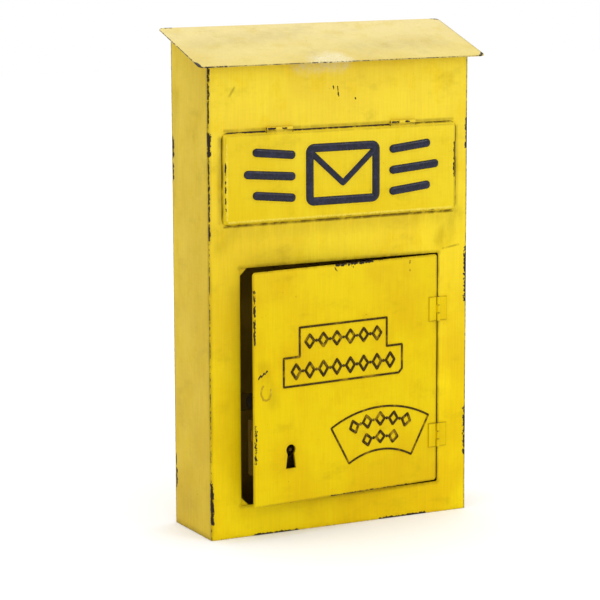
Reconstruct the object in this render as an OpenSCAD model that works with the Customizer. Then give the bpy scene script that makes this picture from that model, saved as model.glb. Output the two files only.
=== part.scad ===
// Wall letter box of folded sheet steel, with a fixed sloping lid, a hinged posting flap and a locking door.
// The front faces -Y, the wall side is +Y and +Z is up.
// The origin is the middle of the underside of the body, where the box rests.

/* [Body] */
// Width of the body across the front
body_w = 219; // [180:1:300]
// Depth of the body from the front face to the wall
body_d = 65; // [52:1:110]
// Height of the lid's top edge at the wall
total_h = 380; // [316:1:520]
// Thickness of the body, lid, flap and door sheet
sheet = 1; // [0.8:0.1:1.3]
// Width of the welding flanges that are turned inwards
flange_w = 8; // [6:1:12]

/* [Lid] */
// Fall of the lid towards the front, in degrees
lid_slope = 18; // [8:1:24]
// Overhang of the lid past each side
lid_side = 10.5; // [4:0.5:20]
// Overhang of the lid past the front
lid_front = 9.4; // [4:0.2:20]
// Radius of the lid's corners
lid_r = 4; // [1:0.5:8]

/* [Wall fixing] */
// Distance between the two screw holes in the back
screw_gap = 140; // [80:5:160]
// Distance from the lid's top edge down to the screw holes
screw_drop = 62; // [45:1:180]
// Radius of the screw holes
screw_r = 3; // [2:0.25:4]

/* [Posting flap] */
// Distance from each side of the body to the flap's bevelled rim
flap_side = 10.25; // [8:0.25:34.5]
// Height of the flap over its bevelled rim
flap_h = 69.5; // [60:0.5:90]
// Distance from the top of the front panel down to the flap
flap_drop = 51.5; // [30:0.5:60]
// Height of the raised field above the front panel
flap_rise = 3; // [2.9:0.1:5]
// Width of the bevel round the raised field
flap_bevel = 2.5; // [2:0.1:4]
// Radius of the flap's corners
flap_r = 6; // [4:0.5:10]
// Height of the letter slot behind the flap
slot_h = 38; // [30:1:42]
// Distance from each end of the flap to the end of the slot
slot_side = 11.5; // [9:0.5:25]
// Distance of each flap hinge's middle from the middle of the flap
flap_hinge_x = 52; // [35:1:70]
// Width of each flap hinge
flap_hinge_len = 21; // [15:1:28]

/* [Flap emblem] */
// Width of the emblem's raised strokes
emblem_stroke = 6.6; // [4:0.2:8]
// Height of the strokes above the field
emblem_rise = 1.8; // [1:0.1:2.5]
// Width of the envelope between stroke centres
envelope_w = 56; // [40:1:64]
// Height of the envelope between stroke centres
envelope_h = 40; // [28:1:44]
// Distance from each end of the flap to the emblem's outer bars
emblem_side = 20.25; // [14:0.25:36.25]

/* [Collection door] */
// Width of the front panel left of the door opening
stile_left = 25; // [22:0.5:40]
// Width of the front panel right of the door opening
stile_right = 25.5; // [20:0.5:40]
// Height of the front panel below the door opening
rail_low = 24.5; // [20:0.5:40]
// Height of the front panel between the door opening and the flap
rail_mid = 32; // [20:0.5:50]
// Gap at the door's free edge
door_gap_side = 1; // [0.8:0.1:2]
// Gap above the door
door_gap_top = 1; // [0.6:0.1:2]
// Gap below the door
door_gap_low = 1.5; // [0.6:0.1:3]
// Gap at the hinged edge
door_gap_hinge = 1; // [0.8:0.1:1.2]
// Angle by which the door stands ajar, in degrees
door_ajar = 6; // [0:0.5:30]
// Radius of the door's corners
door_r = 2.5; // [1:0.5:6]
// Length of each door hinge
door_hinge_len = 18.5; // [15:0.5:30]
// Width of each door hinge leaf from the pin's axis
door_leaf = 8; // [6:0.5:14]
// Distance from the top of the opening to the middle of the upper hinge
hinge_upper_drop = 43.5; // [20:0.5:55]
// Distance from the bottom of the opening to the middle of the lower hinge
hinge_lower_rise = 37.5; // [20:0.5:45]

/* [Hinge hardware] */
// Thickness of the hinge leaves
leaf_t = 0.8; // [0.6:0.1:1]
// Outer radius of the hinge knuckles
knuckle_r = 1.2; // [1.1:0.05:1.5]
// Radius of the hinge pins
pin_r = 0.6; // [0.5:0.05:0.7]
// Running clearance between a pin and a turning knuckle
pin_fit = 0.05; // [0.02:0.01:0.1]

/* [Lock] */
// Distance from the door's free edge to the key's axis
key_backset = 33; // [32:0.5:45]
// Height of the key's axis above the bottom of the opening
key_z = 42.3; // [38:0.1:60]
// Radius of the keyhole's round head
key_head_r = 4.1; // [3:0.1:5]
// Width of the keyhole at its waist
key_waist = 6; // [5:0.1:7]
// Width of the keyhole at its foot
key_foot = 8.9; // [7:0.1:10]
// Height of the whole keyhole
key_hole_h = 18.4; // [14:0.1:20]
// Depth of the lock case behind its cap
case_depth = 9; // [8:0.5:11]
// Travel of the bolt
bolt_throw = 8; // [5:0.5:10]
// Height of the bolt
bolt_h = 8; // [6:0.5:8]
// Thickness of the bolt
bolt_t = 3; // [2:0.5:3.5]

/* [Catch] */
// Distance from the door's free edge to the magnet's axis
catch_x = 12; // [9:0.5:20]
// Height of the magnet's axis above the bottom of the opening
catch_z = 78; // [76:0.5:90]
// Radius of the catch magnet
magnet_r = 6; // [4:0.5:6]
// Thickness of the catch magnet
magnet_t = 4; // [3:0.5:6]

/* [Hidden] */

$fn = 48;
// Clearance between pieces that move past each other
run = 0.3;
// Thickness of the flat shapes that a hull joins
film = 0.05;
// Overlap of a cutting tool past the face it cuts
cut = 1;

// Outer planes of the body
x_left = -body_w / 2;
x_right = body_w / 2;
y_front = -body_d / 2;
y_back = body_d / 2;

// Side flanges: how far they stop above the base and below the lid
flange_foot = 10;
flange_head = 4;

// Underside of the lid: its height at a distance y in the body's frame
lid_under_back = total_h - sheet * cos(lid_slope);
function lid_under(y) = lid_under_back - (y_back - y) * tan(lid_slope);
front_top = lid_under(y_front);

// Flap: outer edges and the pin axis above its top edge
flap_w = body_w - 2 * flap_side;
flap_top = front_top - flap_drop;
flap_low = flap_top - flap_h;
flap_axis_rise = knuckle_r + 0.1;
flap_axis_off = knuckle_r + run + 0.2;
flap_axis_y = y_front - flap_axis_off;
flap_axis_z = flap_top + flap_axis_rise;
flap_reach = 11;
slot_top = flap_axis_z - flap_reach - 5;

// Emblem: the spacing and place of the bars beside the envelope
bar_gap = 15;
bar_pitch = 16;
bar_tilt = 3;
bar_taper = 0.2;
bar_start = envelope_w / 2 + bar_gap;
bar_len = flap_w / 2 - emblem_side - bar_start;

// Door opening in the front panel, and the door that fills it
open_left = x_left + stile_left;
open_right = x_right - stile_right;
open_low = rail_low;
open_top = flap_low - rail_mid;
door_proud = run;
door_face_y = y_front - door_proud;
door_back_y = door_face_y + sheet;
door_left = open_left + door_gap_side;
door_right = open_right - door_gap_hinge / 2;
door_low = open_low + door_gap_low;
door_top = open_top - door_gap_top;

// Door hinges: the pin axis lies in the middle of the gap, in front of the faces
door_axis_x = open_right;
door_axis_y = door_face_y - knuckle_r - run;
seam_panel = door_gap_hinge / 2;
hinge_upper_z = open_top - hinge_upper_drop - door_hinge_len / 2;
hinge_lower_z = open_low + hinge_lower_rise - door_hinge_len / 2;
pin_over = 0.5;

// Corner stops: how far they show in the opening and how far they reach behind the panel
stop_show = 6;
stop_hide = 7;

// Lock: everything is placed from the key's axis and the door's back face
key_x = door_left + key_backset;
key_axis_z = open_low + key_z;
lock_left = door_left + 2;
case_right = key_x + 25;
case_low = key_axis_z - 16.8;
case_top = key_axis_z + 25.2;
cap_right = case_right + 9;
cap_low = case_low - 8;
cap_top = case_top + 2;
case_y = door_back_y + sheet;
case_back_y = case_y + case_depth;
bolt_low = key_axis_z + 9.2;
bolt_y = case_y + 2.6;
bolt_left = lock_left + 0.2;
bolt_right = key_x + 17;
guide_x = key_x - 14;
guide_r = 1.5;
talon_x = key_x - 1;
talon_w = 9;
talon_depth = 2;
ear = 7;
rivet_r = 1.5;
rivet_head_r = 2.5;
rivet_head_t = 0.8;
ear_inset = 8;
low_ear_off = 19;
EARS = [
    [case_right + ear / 2, case_low + ear_inset],
    [case_right + ear / 2, case_top - ear_inset],
    [key_x - low_ear_off, case_low - ear / 2]
];
key_post_r = 1.2;
ward_r = 8;
ward_t = 1;
ward_h = 3;
spring_t = 0.5;
spring_w = 3;

// Catch: the strike on the door, and the magnet that meets it
strike_t = 0.8;
strike_w = 12;
strike_low = 6.5;
strike_up = 20.5;
strike_r = 2;
magnet_x = door_left + catch_x;
magnet_z = open_low + catch_z;
magnet_y = door_back_y + strike_t + run;
bracket_h = 13;
bracket_foot = 12;
bracket_back_y = magnet_y + magnet_t;

// Pressed outlines on the door
press_w = 1.3;
press_h = 0.6;
step_low = 89.8;
step_mid = 67.9;
step_top = 45.8;
step_half_low = 53.7;
step_half_top = 39.5;
step_shift = -3;
fan_in = 53.3;
fan_drop = 26.5;
fan_r_in = 59;
fan_r_out = 92.4;
fan_half = 29.2;

// ---- helpers ----

// A flat bar with round ends from p to q, w wide
module bar(p, q, w) {
    d = q - p;
    turn = atan2(d.y, d.x);
    half = [for (a = [90 : 15 : 270]) [cos(turn + a), sin(turn + a)] * w / 2];
    polygon([for (c = half) p + c, for (c = half) q - c]);
}

// A rectangle from corner a to corner b with round corners
module round_rect(a, b, r) {
    translate([a.x + r, a.y]) square([b.x - a.x - 2 * r, b.y - a.y]);
    translate([a.x, a.y + r]) square([b.x - a.x, b.y - a.y - 2 * r]);
    for (x = [a.x + r, b.x - r], y = [a.y + r, b.y - r]) translate([x, y]) circle(r = r);
}

// Stands a flat shape drawn in X and Z upright, from y to y + t
module upright(y, t) {
    translate([0, y + t, 0]) rotate([90, 0, 0]) linear_extrude(height = t) children();
}

// Gives a shape in the closed door's place the angle at which the door stands
module door_pose() {
    translate([door_axis_x, door_axis_y, 0]) rotate([0, 0, door_ajar])
        translate([-door_axis_x, -door_axis_y, 0]) children();
}

// One leaf of a butt hinge. The pin's axis is the Z axis, the leaf runs to +X, its back face is at y = off.
// An outer leaf carries the two end knuckles, an inner leaf the middle one.
module hinge_leaf(length, reach, off, outer, bore_r) {
    third = length / 3;
    starts = outer ? [0, 2 * third + run / 2] : [third + run / 2];
    span = outer ? third - run / 2 : third - run;
    near = knuckle_r + run;
    difference() {
        union() {
            translate([near, off - leaf_t, 0]) cube([reach - near, leaf_t, length]);
            for (z = starts) {
                translate([0, off - leaf_t, z]) cube([near + 0.2, leaf_t, span]);
                translate([0, 0, z]) cylinder(r = knuckle_r, h = span);
            }
        }
        translate([0, 0, -cut]) cylinder(r = bore_r, h = length + 2 * cut);
    }
}

// The pin of a hinge of that length, along Z
module hinge_pin(length) {
    translate([0, 0, -pin_over]) cylinder(r = pin_r, h = length + 2 * pin_over);
}

// Lays a hinge drawn along Z on the flap's pin axis, with its leaf hanging down
module flap_hinge_place(x_mid) {
    translate([x_mid - flap_hinge_len / 2, flap_axis_y, flap_axis_z]) rotate([0, 90, 0]) children();
}

// Puts a hinge drawn along Z on the door's pin axis, with its foot at z
module door_hinge_place(z) {
    translate([door_axis_x, door_axis_y, z]) children();
}

// ---- body ----

module front_panel() {
    color("gold") difference() {
        translate([x_left, y_front, 0]) cube([body_w, sheet, front_top]);
        upright(y_front - cut, sheet + 2 * cut) {
            round_rect([open_left, open_low], [open_right - seam_panel + door_gap_hinge, open_top], 1.5);
            round_rect([slot_side - flap_w / 2, slot_top - slot_h], [flap_w / 2 - slot_side, slot_top], 3);
        }
    }
}

// A side wall at the left: the plate with front, back and top flanges
module side_wall() {
    y0 = y_front + sheet;
    y1 = y_back - sheet;
    drop = sheet / cos(lid_slope);
    ledge0 = y0 + 2 * sheet;
    ledge1 = y1 - 2 * sheet;
    translate([x_left + sheet, 0, 0]) rotate([90, 0, -90]) linear_extrude(height = sheet)
        polygon([[-y0, 0], [-y1, 0], [-y1, lid_under(y1)], [-y0, lid_under(y0)]]);
    translate([x_left, y0, flange_foot]) cube([flange_w, sheet, lid_under(y0) - flange_head - flange_foot]);
    translate([x_left, y1 - sheet, flange_foot])
        cube([flange_w, sheet, lid_under(y1) - flange_head - flange_foot]);
    translate([x_left + flange_w, 0, 0]) rotate([90, 0, -90]) linear_extrude(height = flange_w)
        polygon([[-ledge0, lid_under(ledge0) - drop], [-ledge1, lid_under(ledge1) - drop],
            [-ledge1, lid_under(ledge1)], [-ledge0, lid_under(ledge0)]]);
}

module left_side() {
    color("goldenrod") side_wall();
}

module right_side() {
    color("goldenrod") mirror([1, 0, 0]) side_wall();
}

module back_panel() {
    color("goldenrod") difference() {
        translate([x_left, y_back - sheet, 0]) cube([body_w, sheet, lid_under(y_back - sheet)]);
        for (x = [-screw_gap / 2, screw_gap / 2])
            translate([x, y_back - sheet - cut, total_h - screw_drop]) rotate([-90, 0, 0])
                cylinder(r = screw_r, h = sheet + 2 * cut);
    }
}

module bottom_panel() {
    long = body_w - 2 * flange_w - 2 * sheet;
    color("goldenrod") {
        translate([x_left + sheet, y_front + sheet, 0])
            cube([body_w - 2 * sheet, body_d - 2 * sheet, sheet]);
        for (y = [y_front + sheet, y_back - 2 * sheet])
            translate([-long / 2, y, 0]) cube([long, sheet, flange_w]);
    }
}

module lid() {
    run_len = (body_d + lid_front - sheet * sin(lid_slope)) / cos(lid_slope);
    wide = body_w + 2 * lid_side;
    color("khaki") translate([0, y_back - sheet * sin(lid_slope), total_h]) rotate([lid_slope, 0, 0])
        translate([0, 0, -sheet]) linear_extrude(height = sheet)
            round_rect([-wide / 2, -run_len], [wide / 2, 0], lid_r);
}

// A three-cornered plate behind the panel; side is 1 at the top of the opening and -1 at the bottom
module corner_stop(z, side) {
    reach = stop_show + stop_hide;
    color("gold") upright(y_front + sheet, sheet) translate([open_left, z])
        polygon([[-stop_hide, side * stop_hide], [reach, side * stop_hide], [-stop_hide, -side * reach]]);
}

module upper_corner_stop() {
    corner_stop(open_top, 1);
}

module lower_corner_stop() {
    corner_stop(open_low, -1);
}

// ---- posting flap ----

// A block with bevelled edges: w by h at y, and a bevel smaller all round at y - deep
module bevel_block(w, h, r, y, deep) {
    hull() {
        upright(y - film, film) round_rect([-w / 2, -h / 2], [w / 2, h / 2], r);
        upright(y - deep, film)
            round_rect([flap_bevel - w / 2, flap_bevel - h / 2], [w / 2 - flap_bevel, h / 2 - flap_bevel],
                r - flap_bevel / 2);
    }
}

module flap_plate() {
    notch = flap_hinge_len + 2 * (run + pin_over);
    color("gold") difference() {
        translate([0, 0, flap_low + flap_h / 2]) difference() {
            bevel_block(flap_w, flap_h, flap_r, y_front - run, flap_rise - run);
            bevel_block(flap_w - 2 * sheet, flap_h - 2 * sheet, flap_r - sheet, y_front, flap_rise - sheet);
        }
        for (x = [-flap_hinge_x, flap_hinge_x])
            translate([x - notch / 2, y_front - flap_rise + sheet, flap_top - flap_bevel - sheet - 0.2])
                cube([notch, flap_rise + cut, flap_bevel + sheet + cut]);
    }
}

// Envelope in the middle with three bars at each side, as separate raised strokes
module flap_emblem() {
    mid = flap_low + flap_h / 2;
    ew = envelope_w / 2;
    eh = envelope_h / 2;
    half = emblem_stroke / 2;
    dip = eh / 5;
    fold_z = eh - half - 2;
    color([0.17, 0.18, 0.27]) upright(y_front - flap_rise - emblem_rise, emblem_rise) translate([0, mid]) {
        difference() {
            round_rect([-ew - half, -eh - half], [ew + half, eh + half], half);
            square([2 * ew - emblem_stroke, 2 * eh - emblem_stroke], center = true);
        }
        polygon([[-ew, eh], [0, -dip], [ew, eh], [ew, fold_z], [0, -dip - emblem_stroke], [-ew, fold_z]]);
        for (side = [-1, 1], row = [-1, 0, 1])
            bar([side * bar_start, row * bar_pitch],
                [side * (bar_start + bar_len * (1 - bar_taper * abs(row))), row * bar_pitch + bar_tilt],
                emblem_stroke);
    }
}

module flap_body_leaf(x_mid) {
    color("gold") flap_hinge_place(x_mid)
        hinge_leaf(flap_hinge_len, flap_reach, flap_axis_off, true, pin_r);
}

module flap_leaf(x_mid) {
    off = flap_axis_off - flap_rise + sheet + leaf_t;
    color("gold") flap_hinge_place(x_mid)
        hinge_leaf(flap_hinge_len, flap_reach - 1, off, false, pin_r + pin_fit);
}

module flap_pin(x_mid) {
    color("dimgray") flap_hinge_place(x_mid) hinge_pin(flap_hinge_len);
}

module flap_hinge_left_body_leaf() {
    flap_body_leaf(-flap_hinge_x);
}

module flap_hinge_left_flap_leaf() {
    flap_leaf(-flap_hinge_x);
}

module flap_hinge_left_pin() {
    flap_pin(-flap_hinge_x);
}

module flap_hinge_right_body_leaf() {
    flap_body_leaf(flap_hinge_x);
}

module flap_hinge_right_flap_leaf() {
    flap_leaf(flap_hinge_x);
}

module flap_hinge_right_pin() {
    flap_pin(flap_hinge_x);
}

// ---- collection door ----

// The keyhole: a round head over the key's axis, a waist and a flared foot
module keyhole() {
    waist_drop = 3.4;
    foot = key_hole_h - key_head_r;
    translate([key_x, key_axis_z]) {
        circle(r = key_head_r);
        polygon([[-key_waist / 2, 0], [key_waist / 2, 0], [key_waist / 2, -waist_drop],
            [key_foot / 2, -foot], [-key_foot / 2, -foot], [-key_waist / 2, -waist_drop]]);
    }
}

// The stepped frame's shape, grown by g all round, placed from the opening's top and the door's middle
module stepped_shape(g) {
    low = step_half_low + g;
    top = step_half_top + g;
    translate([(door_left + door_right) / 2 + step_shift, open_top])
        polygon([[-low, -step_low - g], [low, -step_low - g], [low, g - step_mid], [top, g - step_mid],
            [top, g - step_top], [-top, g - step_top], [-top, g - step_mid], [-low, g - step_mid]]);
}

// The fan frame's shape, grown by g all round: a ring's sector about a centre below the door
module fan_shape(g) {
    far = 2 * fan_r_out;
    spread = fan_half + g * 180 / (PI * fan_r_in);
    translate([door_axis_x - fan_in, open_low - fan_drop]) intersection() {
        difference() {
            circle(r = fan_r_out + g, $fn = 96);
            circle(r = fan_r_in - g, $fn = 96);
        }
        polygon([[0, 0], [far * sin(spread), far * cos(spread)], [-far * sin(spread), far * cos(spread)]]);
    }
}

module door_panel() {
    color("gold") door_pose() difference() {
        union() {
            upright(door_face_y, sheet) round_rect([door_left, door_low], [door_right, door_top], door_r);
            upright(door_face_y - press_h, press_h + 0.2) {
                difference() {
                    stepped_shape(press_w / 2);
                    stepped_shape(-press_w / 2);
                }
                difference() {
                    fan_shape(press_w / 2);
                    fan_shape(-press_w / 2);
                }
            }
        }
        upright(door_face_y - press_h - cut, sheet + press_h + 2 * cut) keyhole();
    }
}

module door_body_leaf(z) {
    color("gold") door_hinge_place(z)
        hinge_leaf(door_hinge_len, door_leaf, y_front - door_axis_y, true, pin_r);
}

module door_door_leaf(z) {
    color("gold") door_pose() door_hinge_place(z) mirror([1, 0, 0])
        hinge_leaf(door_hinge_len, door_leaf, door_face_y - door_axis_y, false, pin_r + pin_fit);
}

module door_pin(z) {
    color("dimgray") door_hinge_place(z) hinge_pin(door_hinge_len);
}

module door_hinge_upper_body_leaf() {
    door_body_leaf(hinge_upper_z);
}

module door_hinge_upper_door_leaf() {
    door_door_leaf(hinge_upper_z);
}

module door_hinge_upper_pin() {
    door_pin(hinge_upper_z);
}

module door_hinge_lower_body_leaf() {
    door_body_leaf(hinge_lower_z);
}

module door_hinge_lower_door_leaf() {
    door_door_leaf(hinge_lower_z);
}

module door_hinge_lower_pin() {
    door_pin(hinge_lower_z);
}

// ---- magnetic catch ----

// A stepped strip: its foot is welded behind the stile and its arm carries the magnet
module catch_bracket() {
    z = magnet_z - bracket_h / 2;
    foot_right = open_left - 1;
    color("dimgray") {
        translate([foot_right - bracket_foot, y_front + sheet, z]) cube([bracket_foot, sheet, bracket_h]);
        translate([foot_right - sheet, y_front + sheet, z])
            cube([sheet, bracket_back_y - y_front, bracket_h]);
        translate([foot_right - sheet, bracket_back_y, z])
            cube([magnet_x + magnet_r + 1 - foot_right + sheet, sheet, bracket_h]);
    }
}

module catch_magnet() {
    color([0.2, 0.2, 0.2]) translate([magnet_x, magnet_y, magnet_z]) rotate([-90, 0, 0])
        cylinder(r = magnet_r, h = magnet_t);
}

module catch_strike() {
    color("dimgray") door_pose() upright(door_back_y, strike_t)
        round_rect([magnet_x - strike_w / 2, magnet_z - strike_low],
            [magnet_x + strike_w / 2, magnet_z + strike_up], strike_r);
}

// ---- lock ----

module rivet_holes() {
    for (p = EARS) translate(p) circle(r = rivet_r);
}

module lock_cap() {
    color("slategray") door_pose() upright(door_back_y, sheet) difference() {
        round_rect([lock_left, cap_low], [cap_right, cap_top], 1);
        keyhole();
        rivet_holes();
    }
}

// An open tray with ears; the bolt leaves it through the slot in its left wall
module lock_case() {
    wide = case_right - lock_left;
    tall = case_top - case_low;
    color("slategray") door_pose() {
        difference() {
            translate([lock_left, case_y, case_low]) cube([wide, case_depth, tall]);
            translate([lock_left + sheet, case_y - cut, case_low + sheet])
                cube([wide - 2 * sheet, case_depth - sheet + cut, tall - 2 * sheet]);
            translate([lock_left - cut, bolt_y - run, bolt_low - run])
                cube([sheet + 2 * cut, bolt_t + 2 * run, bolt_h + 2 * run]);
        }
        upright(case_y, sheet) difference() {
            union() for (p = EARS) translate([p.x - ear / 2, p.y - ear / 2]) square([ear, ear]);
            rivet_holes();
        }
    }
}

module lock_rivets() {
    color("silver") door_pose() for (p = EARS) {
        upright(door_back_y, 2 * sheet) translate(p) circle(r = rivet_r);
        upright(case_y + sheet, rivet_head_t) translate(p) circle(r = rivet_head_r);
    }
}

module key_post() {
    color("silver") door_pose() upright(door_back_y, case_back_y - sheet - door_back_y)
        translate([key_x, key_axis_z]) circle(r = key_post_r);
}

module lock_ward() {
    color("slategray") door_pose() upright(case_back_y - sheet - ward_h, ward_h)
        translate([key_x, key_axis_z]) difference() {
            circle(r = ward_r);
            circle(r = ward_r - ward_t);
            translate([-ward_r, 0]) square([2 * ward_r, ward_r]);
        }
}

module bolt_guide_pin() {
    color("silver") door_pose() upright(bolt_y - 1, case_back_y - sheet - bolt_y + 1)
        translate([guide_x, bolt_low + bolt_h / 2]) circle(r = guide_r);
}

// A bowed strip fixed under the case's top wall, pressing on the bolt
module bolt_spring() {
    bow = case_top - sheet - bolt_low - bolt_h - run;
    half = 13;
    bow_r = (half * half + bow * bow) / (2 * bow);
    color("silver") door_pose() upright(bolt_y, spring_w) intersection() {
        translate([guide_x + 2, bolt_low + bolt_h + run + bow_r]) difference() {
            circle(r = bow_r, $fn = 96);
            circle(r = bow_r - spring_t, $fn = 96);
        }
        translate([guide_x + 2 - half, bolt_low + bolt_h]) square([2 * half, bow + run]);
    }
}

module lock_bolt() {
    slot_r = guide_r + run;
    color("silver") door_pose() upright(bolt_y, bolt_t) difference() {
        translate([bolt_left, bolt_low]) square([bolt_right - bolt_left, bolt_h]);
        bar([guide_x, bolt_low + bolt_h / 2], [guide_x + bolt_throw, bolt_low + bolt_h / 2], 2 * slot_r);
        translate([talon_x, bolt_low - cut]) square([talon_w, talon_depth + cut]);
    }
}

front_panel();
left_side();
right_side();
back_panel();
bottom_panel();
lid();
upper_corner_stop();
lower_corner_stop();
flap_plate();
flap_emblem();
flap_hinge_left_body_leaf();
flap_hinge_left_flap_leaf();
flap_hinge_left_pin();
flap_hinge_right_body_leaf();
flap_hinge_right_flap_leaf();
flap_hinge_right_pin();
door_panel();
door_hinge_upper_body_leaf();
door_hinge_upper_door_leaf();
door_hinge_upper_pin();
door_hinge_lower_body_leaf();
door_hinge_lower_door_leaf();
door_hinge_lower_pin();
catch_bracket();
catch_magnet();
catch_strike();
lock_cap();
lock_case();
lock_rivets();
key_post();
lock_ward();
bolt_guide_pin();
bolt_spring();
lock_bolt();
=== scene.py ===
"""Looks of a wall letter box in aged yellow sheet steel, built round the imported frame.

Sizes are in millimetres in the classes below. A mesh is turned into metres when its piece is made.
"""

import logging
import math
from collections.abc import Iterable
from dataclasses import dataclass, field
from enum import Enum

import bmesh
import bpy
from mathutils import Matrix, Vector, noise


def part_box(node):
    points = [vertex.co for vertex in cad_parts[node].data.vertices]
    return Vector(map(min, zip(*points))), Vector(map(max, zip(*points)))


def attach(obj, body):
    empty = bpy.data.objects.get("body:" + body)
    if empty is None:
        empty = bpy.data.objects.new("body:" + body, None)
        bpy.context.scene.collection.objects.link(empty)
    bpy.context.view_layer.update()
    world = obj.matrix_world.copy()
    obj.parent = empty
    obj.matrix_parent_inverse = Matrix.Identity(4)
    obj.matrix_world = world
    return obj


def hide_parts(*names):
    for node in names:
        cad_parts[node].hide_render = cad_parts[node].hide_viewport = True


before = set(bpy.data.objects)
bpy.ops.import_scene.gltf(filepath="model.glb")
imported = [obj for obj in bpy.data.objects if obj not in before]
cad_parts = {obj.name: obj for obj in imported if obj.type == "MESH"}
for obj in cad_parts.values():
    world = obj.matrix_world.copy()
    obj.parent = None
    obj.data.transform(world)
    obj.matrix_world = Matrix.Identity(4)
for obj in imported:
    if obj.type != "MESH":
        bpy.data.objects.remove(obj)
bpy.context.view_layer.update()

log = logging.getLogger("letter_box")

MM = 0.001
Colour = tuple[float, float, float, float]
Point = tuple[float, float, float]
Flat = list[Vector]
Lines = list[tuple[Flat, bool]]
Solid = bmesh.types.BMesh
Socket = bpy.types.NodeSocket


# ---- measures ----


def box_mm(node: str) -> tuple[Vector, Vector]:
    """Gives a CAD node's lowest and highest corners in millimetres."""
    low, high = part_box(node)
    return low / MM, high / MM


def dye(red: int, green: int, blue: int) -> Colour:
    """Turns a colour of three bytes into the linear colour that a shader takes.

    Args:
        red: Red from 0 to 255.
        green: Green from 0 to 255.
        blue: Blue from 0 to 255.

    Returns:
        The linear colour with an alpha of 1.
    """

    def linear(byte: int) -> float:
        """Gives one byte's linear value."""
        share = byte / 255
        return share / 12.92 if share <= 0.04045 else ((share + 0.055) / 1.055) ** 2.4

    return (linear(red), linear(green), linear(blue), 1.0)


@dataclass(frozen=True)
class BoxSizes:
    """The places that several sub-assemblies share, read from the frame.

    The front faces -Y, the wall is at +Y and the origin is the middle of the underside.
    """

    sheet: float = 1.0
    lid_slope: float = math.radians(18)
    door_ajar: float = math.radians(6)
    body_low: Vector = field(default_factory=lambda: box_mm("front_panel")[0])
    body_top: float = field(default_factory=lambda: box_mm("front_panel")[1].z)
    wall_y: float = field(default_factory=lambda: box_mm("back_panel")[1].y)
    flap_low: Vector = field(default_factory=lambda: box_mm("flap_plate")[0])
    flap_high: Vector = field(default_factory=lambda: box_mm("flap_plate")[1])
    lid_high: Vector = field(default_factory=lambda: box_mm("lid")[1])

    @property
    def half(self) -> float:
        """Half the body's width."""
        return -self.body_low.x

    @property
    def front(self) -> float:
        """Where the front sheet's outer face lies along Y."""
        return self.body_low.y

    @property
    def hinge_axis(self) -> Vector:
        """A point on the door hinges' pin axis."""
        low, high = box_mm("door_hinge_upper_pin")
        return (low + high) / 2

    @property
    def door_turn(self) -> Matrix:
        """What turns a shape from the closed door's place to the door's angle."""
        axis = Matrix.Translation((self.hinge_axis.x, self.hinge_axis.y, 0))
        return axis @ Matrix.Rotation(self.door_ajar, 4, "Z") @ axis.inverted()

    @property
    def slope(self) -> tuple[Vector, Vector]:
        """The directions up the lid's slope and down through its sheet."""
        rise, run = math.sin(self.lid_slope), math.cos(self.lid_slope)
        return Vector((0, run, rise)), Vector((0, rise, -run))

    def lid_under(self, y: float) -> float:
        """Gives the height of the lid's underside at a distance y."""
        fall = (self.wall_y - y) * math.tan(self.lid_slope)
        return self.lid_high.z - self.sheet * math.cos(self.lid_slope) - fall


X, Y, Z = Vector((1, 0, 0)), Vector((0, 1, 0)), Vector((0, 0, 1))


def facing(origin: Vector | Point, u: Vector, v: Vector, w: Vector) -> Matrix:
    """Makes the matrix that lays a flat drawing in place.

    Args:
        origin: Where the drawing's zero goes.
        u: Direction of the drawing's first axis.
        v: Direction of its second axis.
        w: Direction of its third axis, the thickness or the rise.

    Returns:
        The matrix.
    """
    place = Matrix((u, v, w)).transposed().to_4x4()
    place.translation = Vector(origin)
    return place


# ---- outlines ----


def rounded(low: tuple[float, float], high: tuple[float, float], r: float, steps: int = 5) -> Flat:
    """Draws a rectangle with round corners.

    Args:
        low: Its low corner.
        high: Its high corner.
        r: Radius of its corners.
        steps: Spans in each corner's arc.

    Returns:
        The points, anticlockwise.
    """
    centres = (
        (high[0] - r, high[1] - r, 0),
        (low[0] + r, high[1] - r, 90),
        (low[0] + r, low[1] + r, 180),
        (high[0] - r, low[1] + r, 270),
    )
    points = []
    for cx, cy, start in centres:
        for step in range(steps + 1):
            turn = math.radians(start + 90 * step / steps)
            points.append(Vector((cx + r * math.cos(turn), cy + r * math.sin(turn))))
    return points


def ring(centre: tuple[float, float], r: float, steps: int = 24) -> Flat:
    """Draws a circle, anticlockwise."""
    turns = (2 * math.pi * step / steps for step in range(steps))
    return [Vector((centre[0] + r * math.cos(turn), centre[1] + r * math.sin(turn))) for turn in turns]


def drawn_in(points: Flat, inset: float) -> Flat:
    """Moves an outline to its left side by an inset, which is inwards for an anticlockwise one.

    Args:
        points: The outline.
        inset: How far each edge moves.

    Returns:
        The moved outline.
    """
    moved = []
    for index, point in enumerate(points):
        before = (point - points[index - 1]).normalized()
        after = (points[(index + 1) % len(points)] - point).normalized()
        normal = Vector((-before.y - after.y, before.x + after.x))
        normal.normalize()
        lean = max(0.35, normal.dot(Vector((-after.y, after.x))))
        moved.append(point + normal * inset / lean)
    return moved


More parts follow.
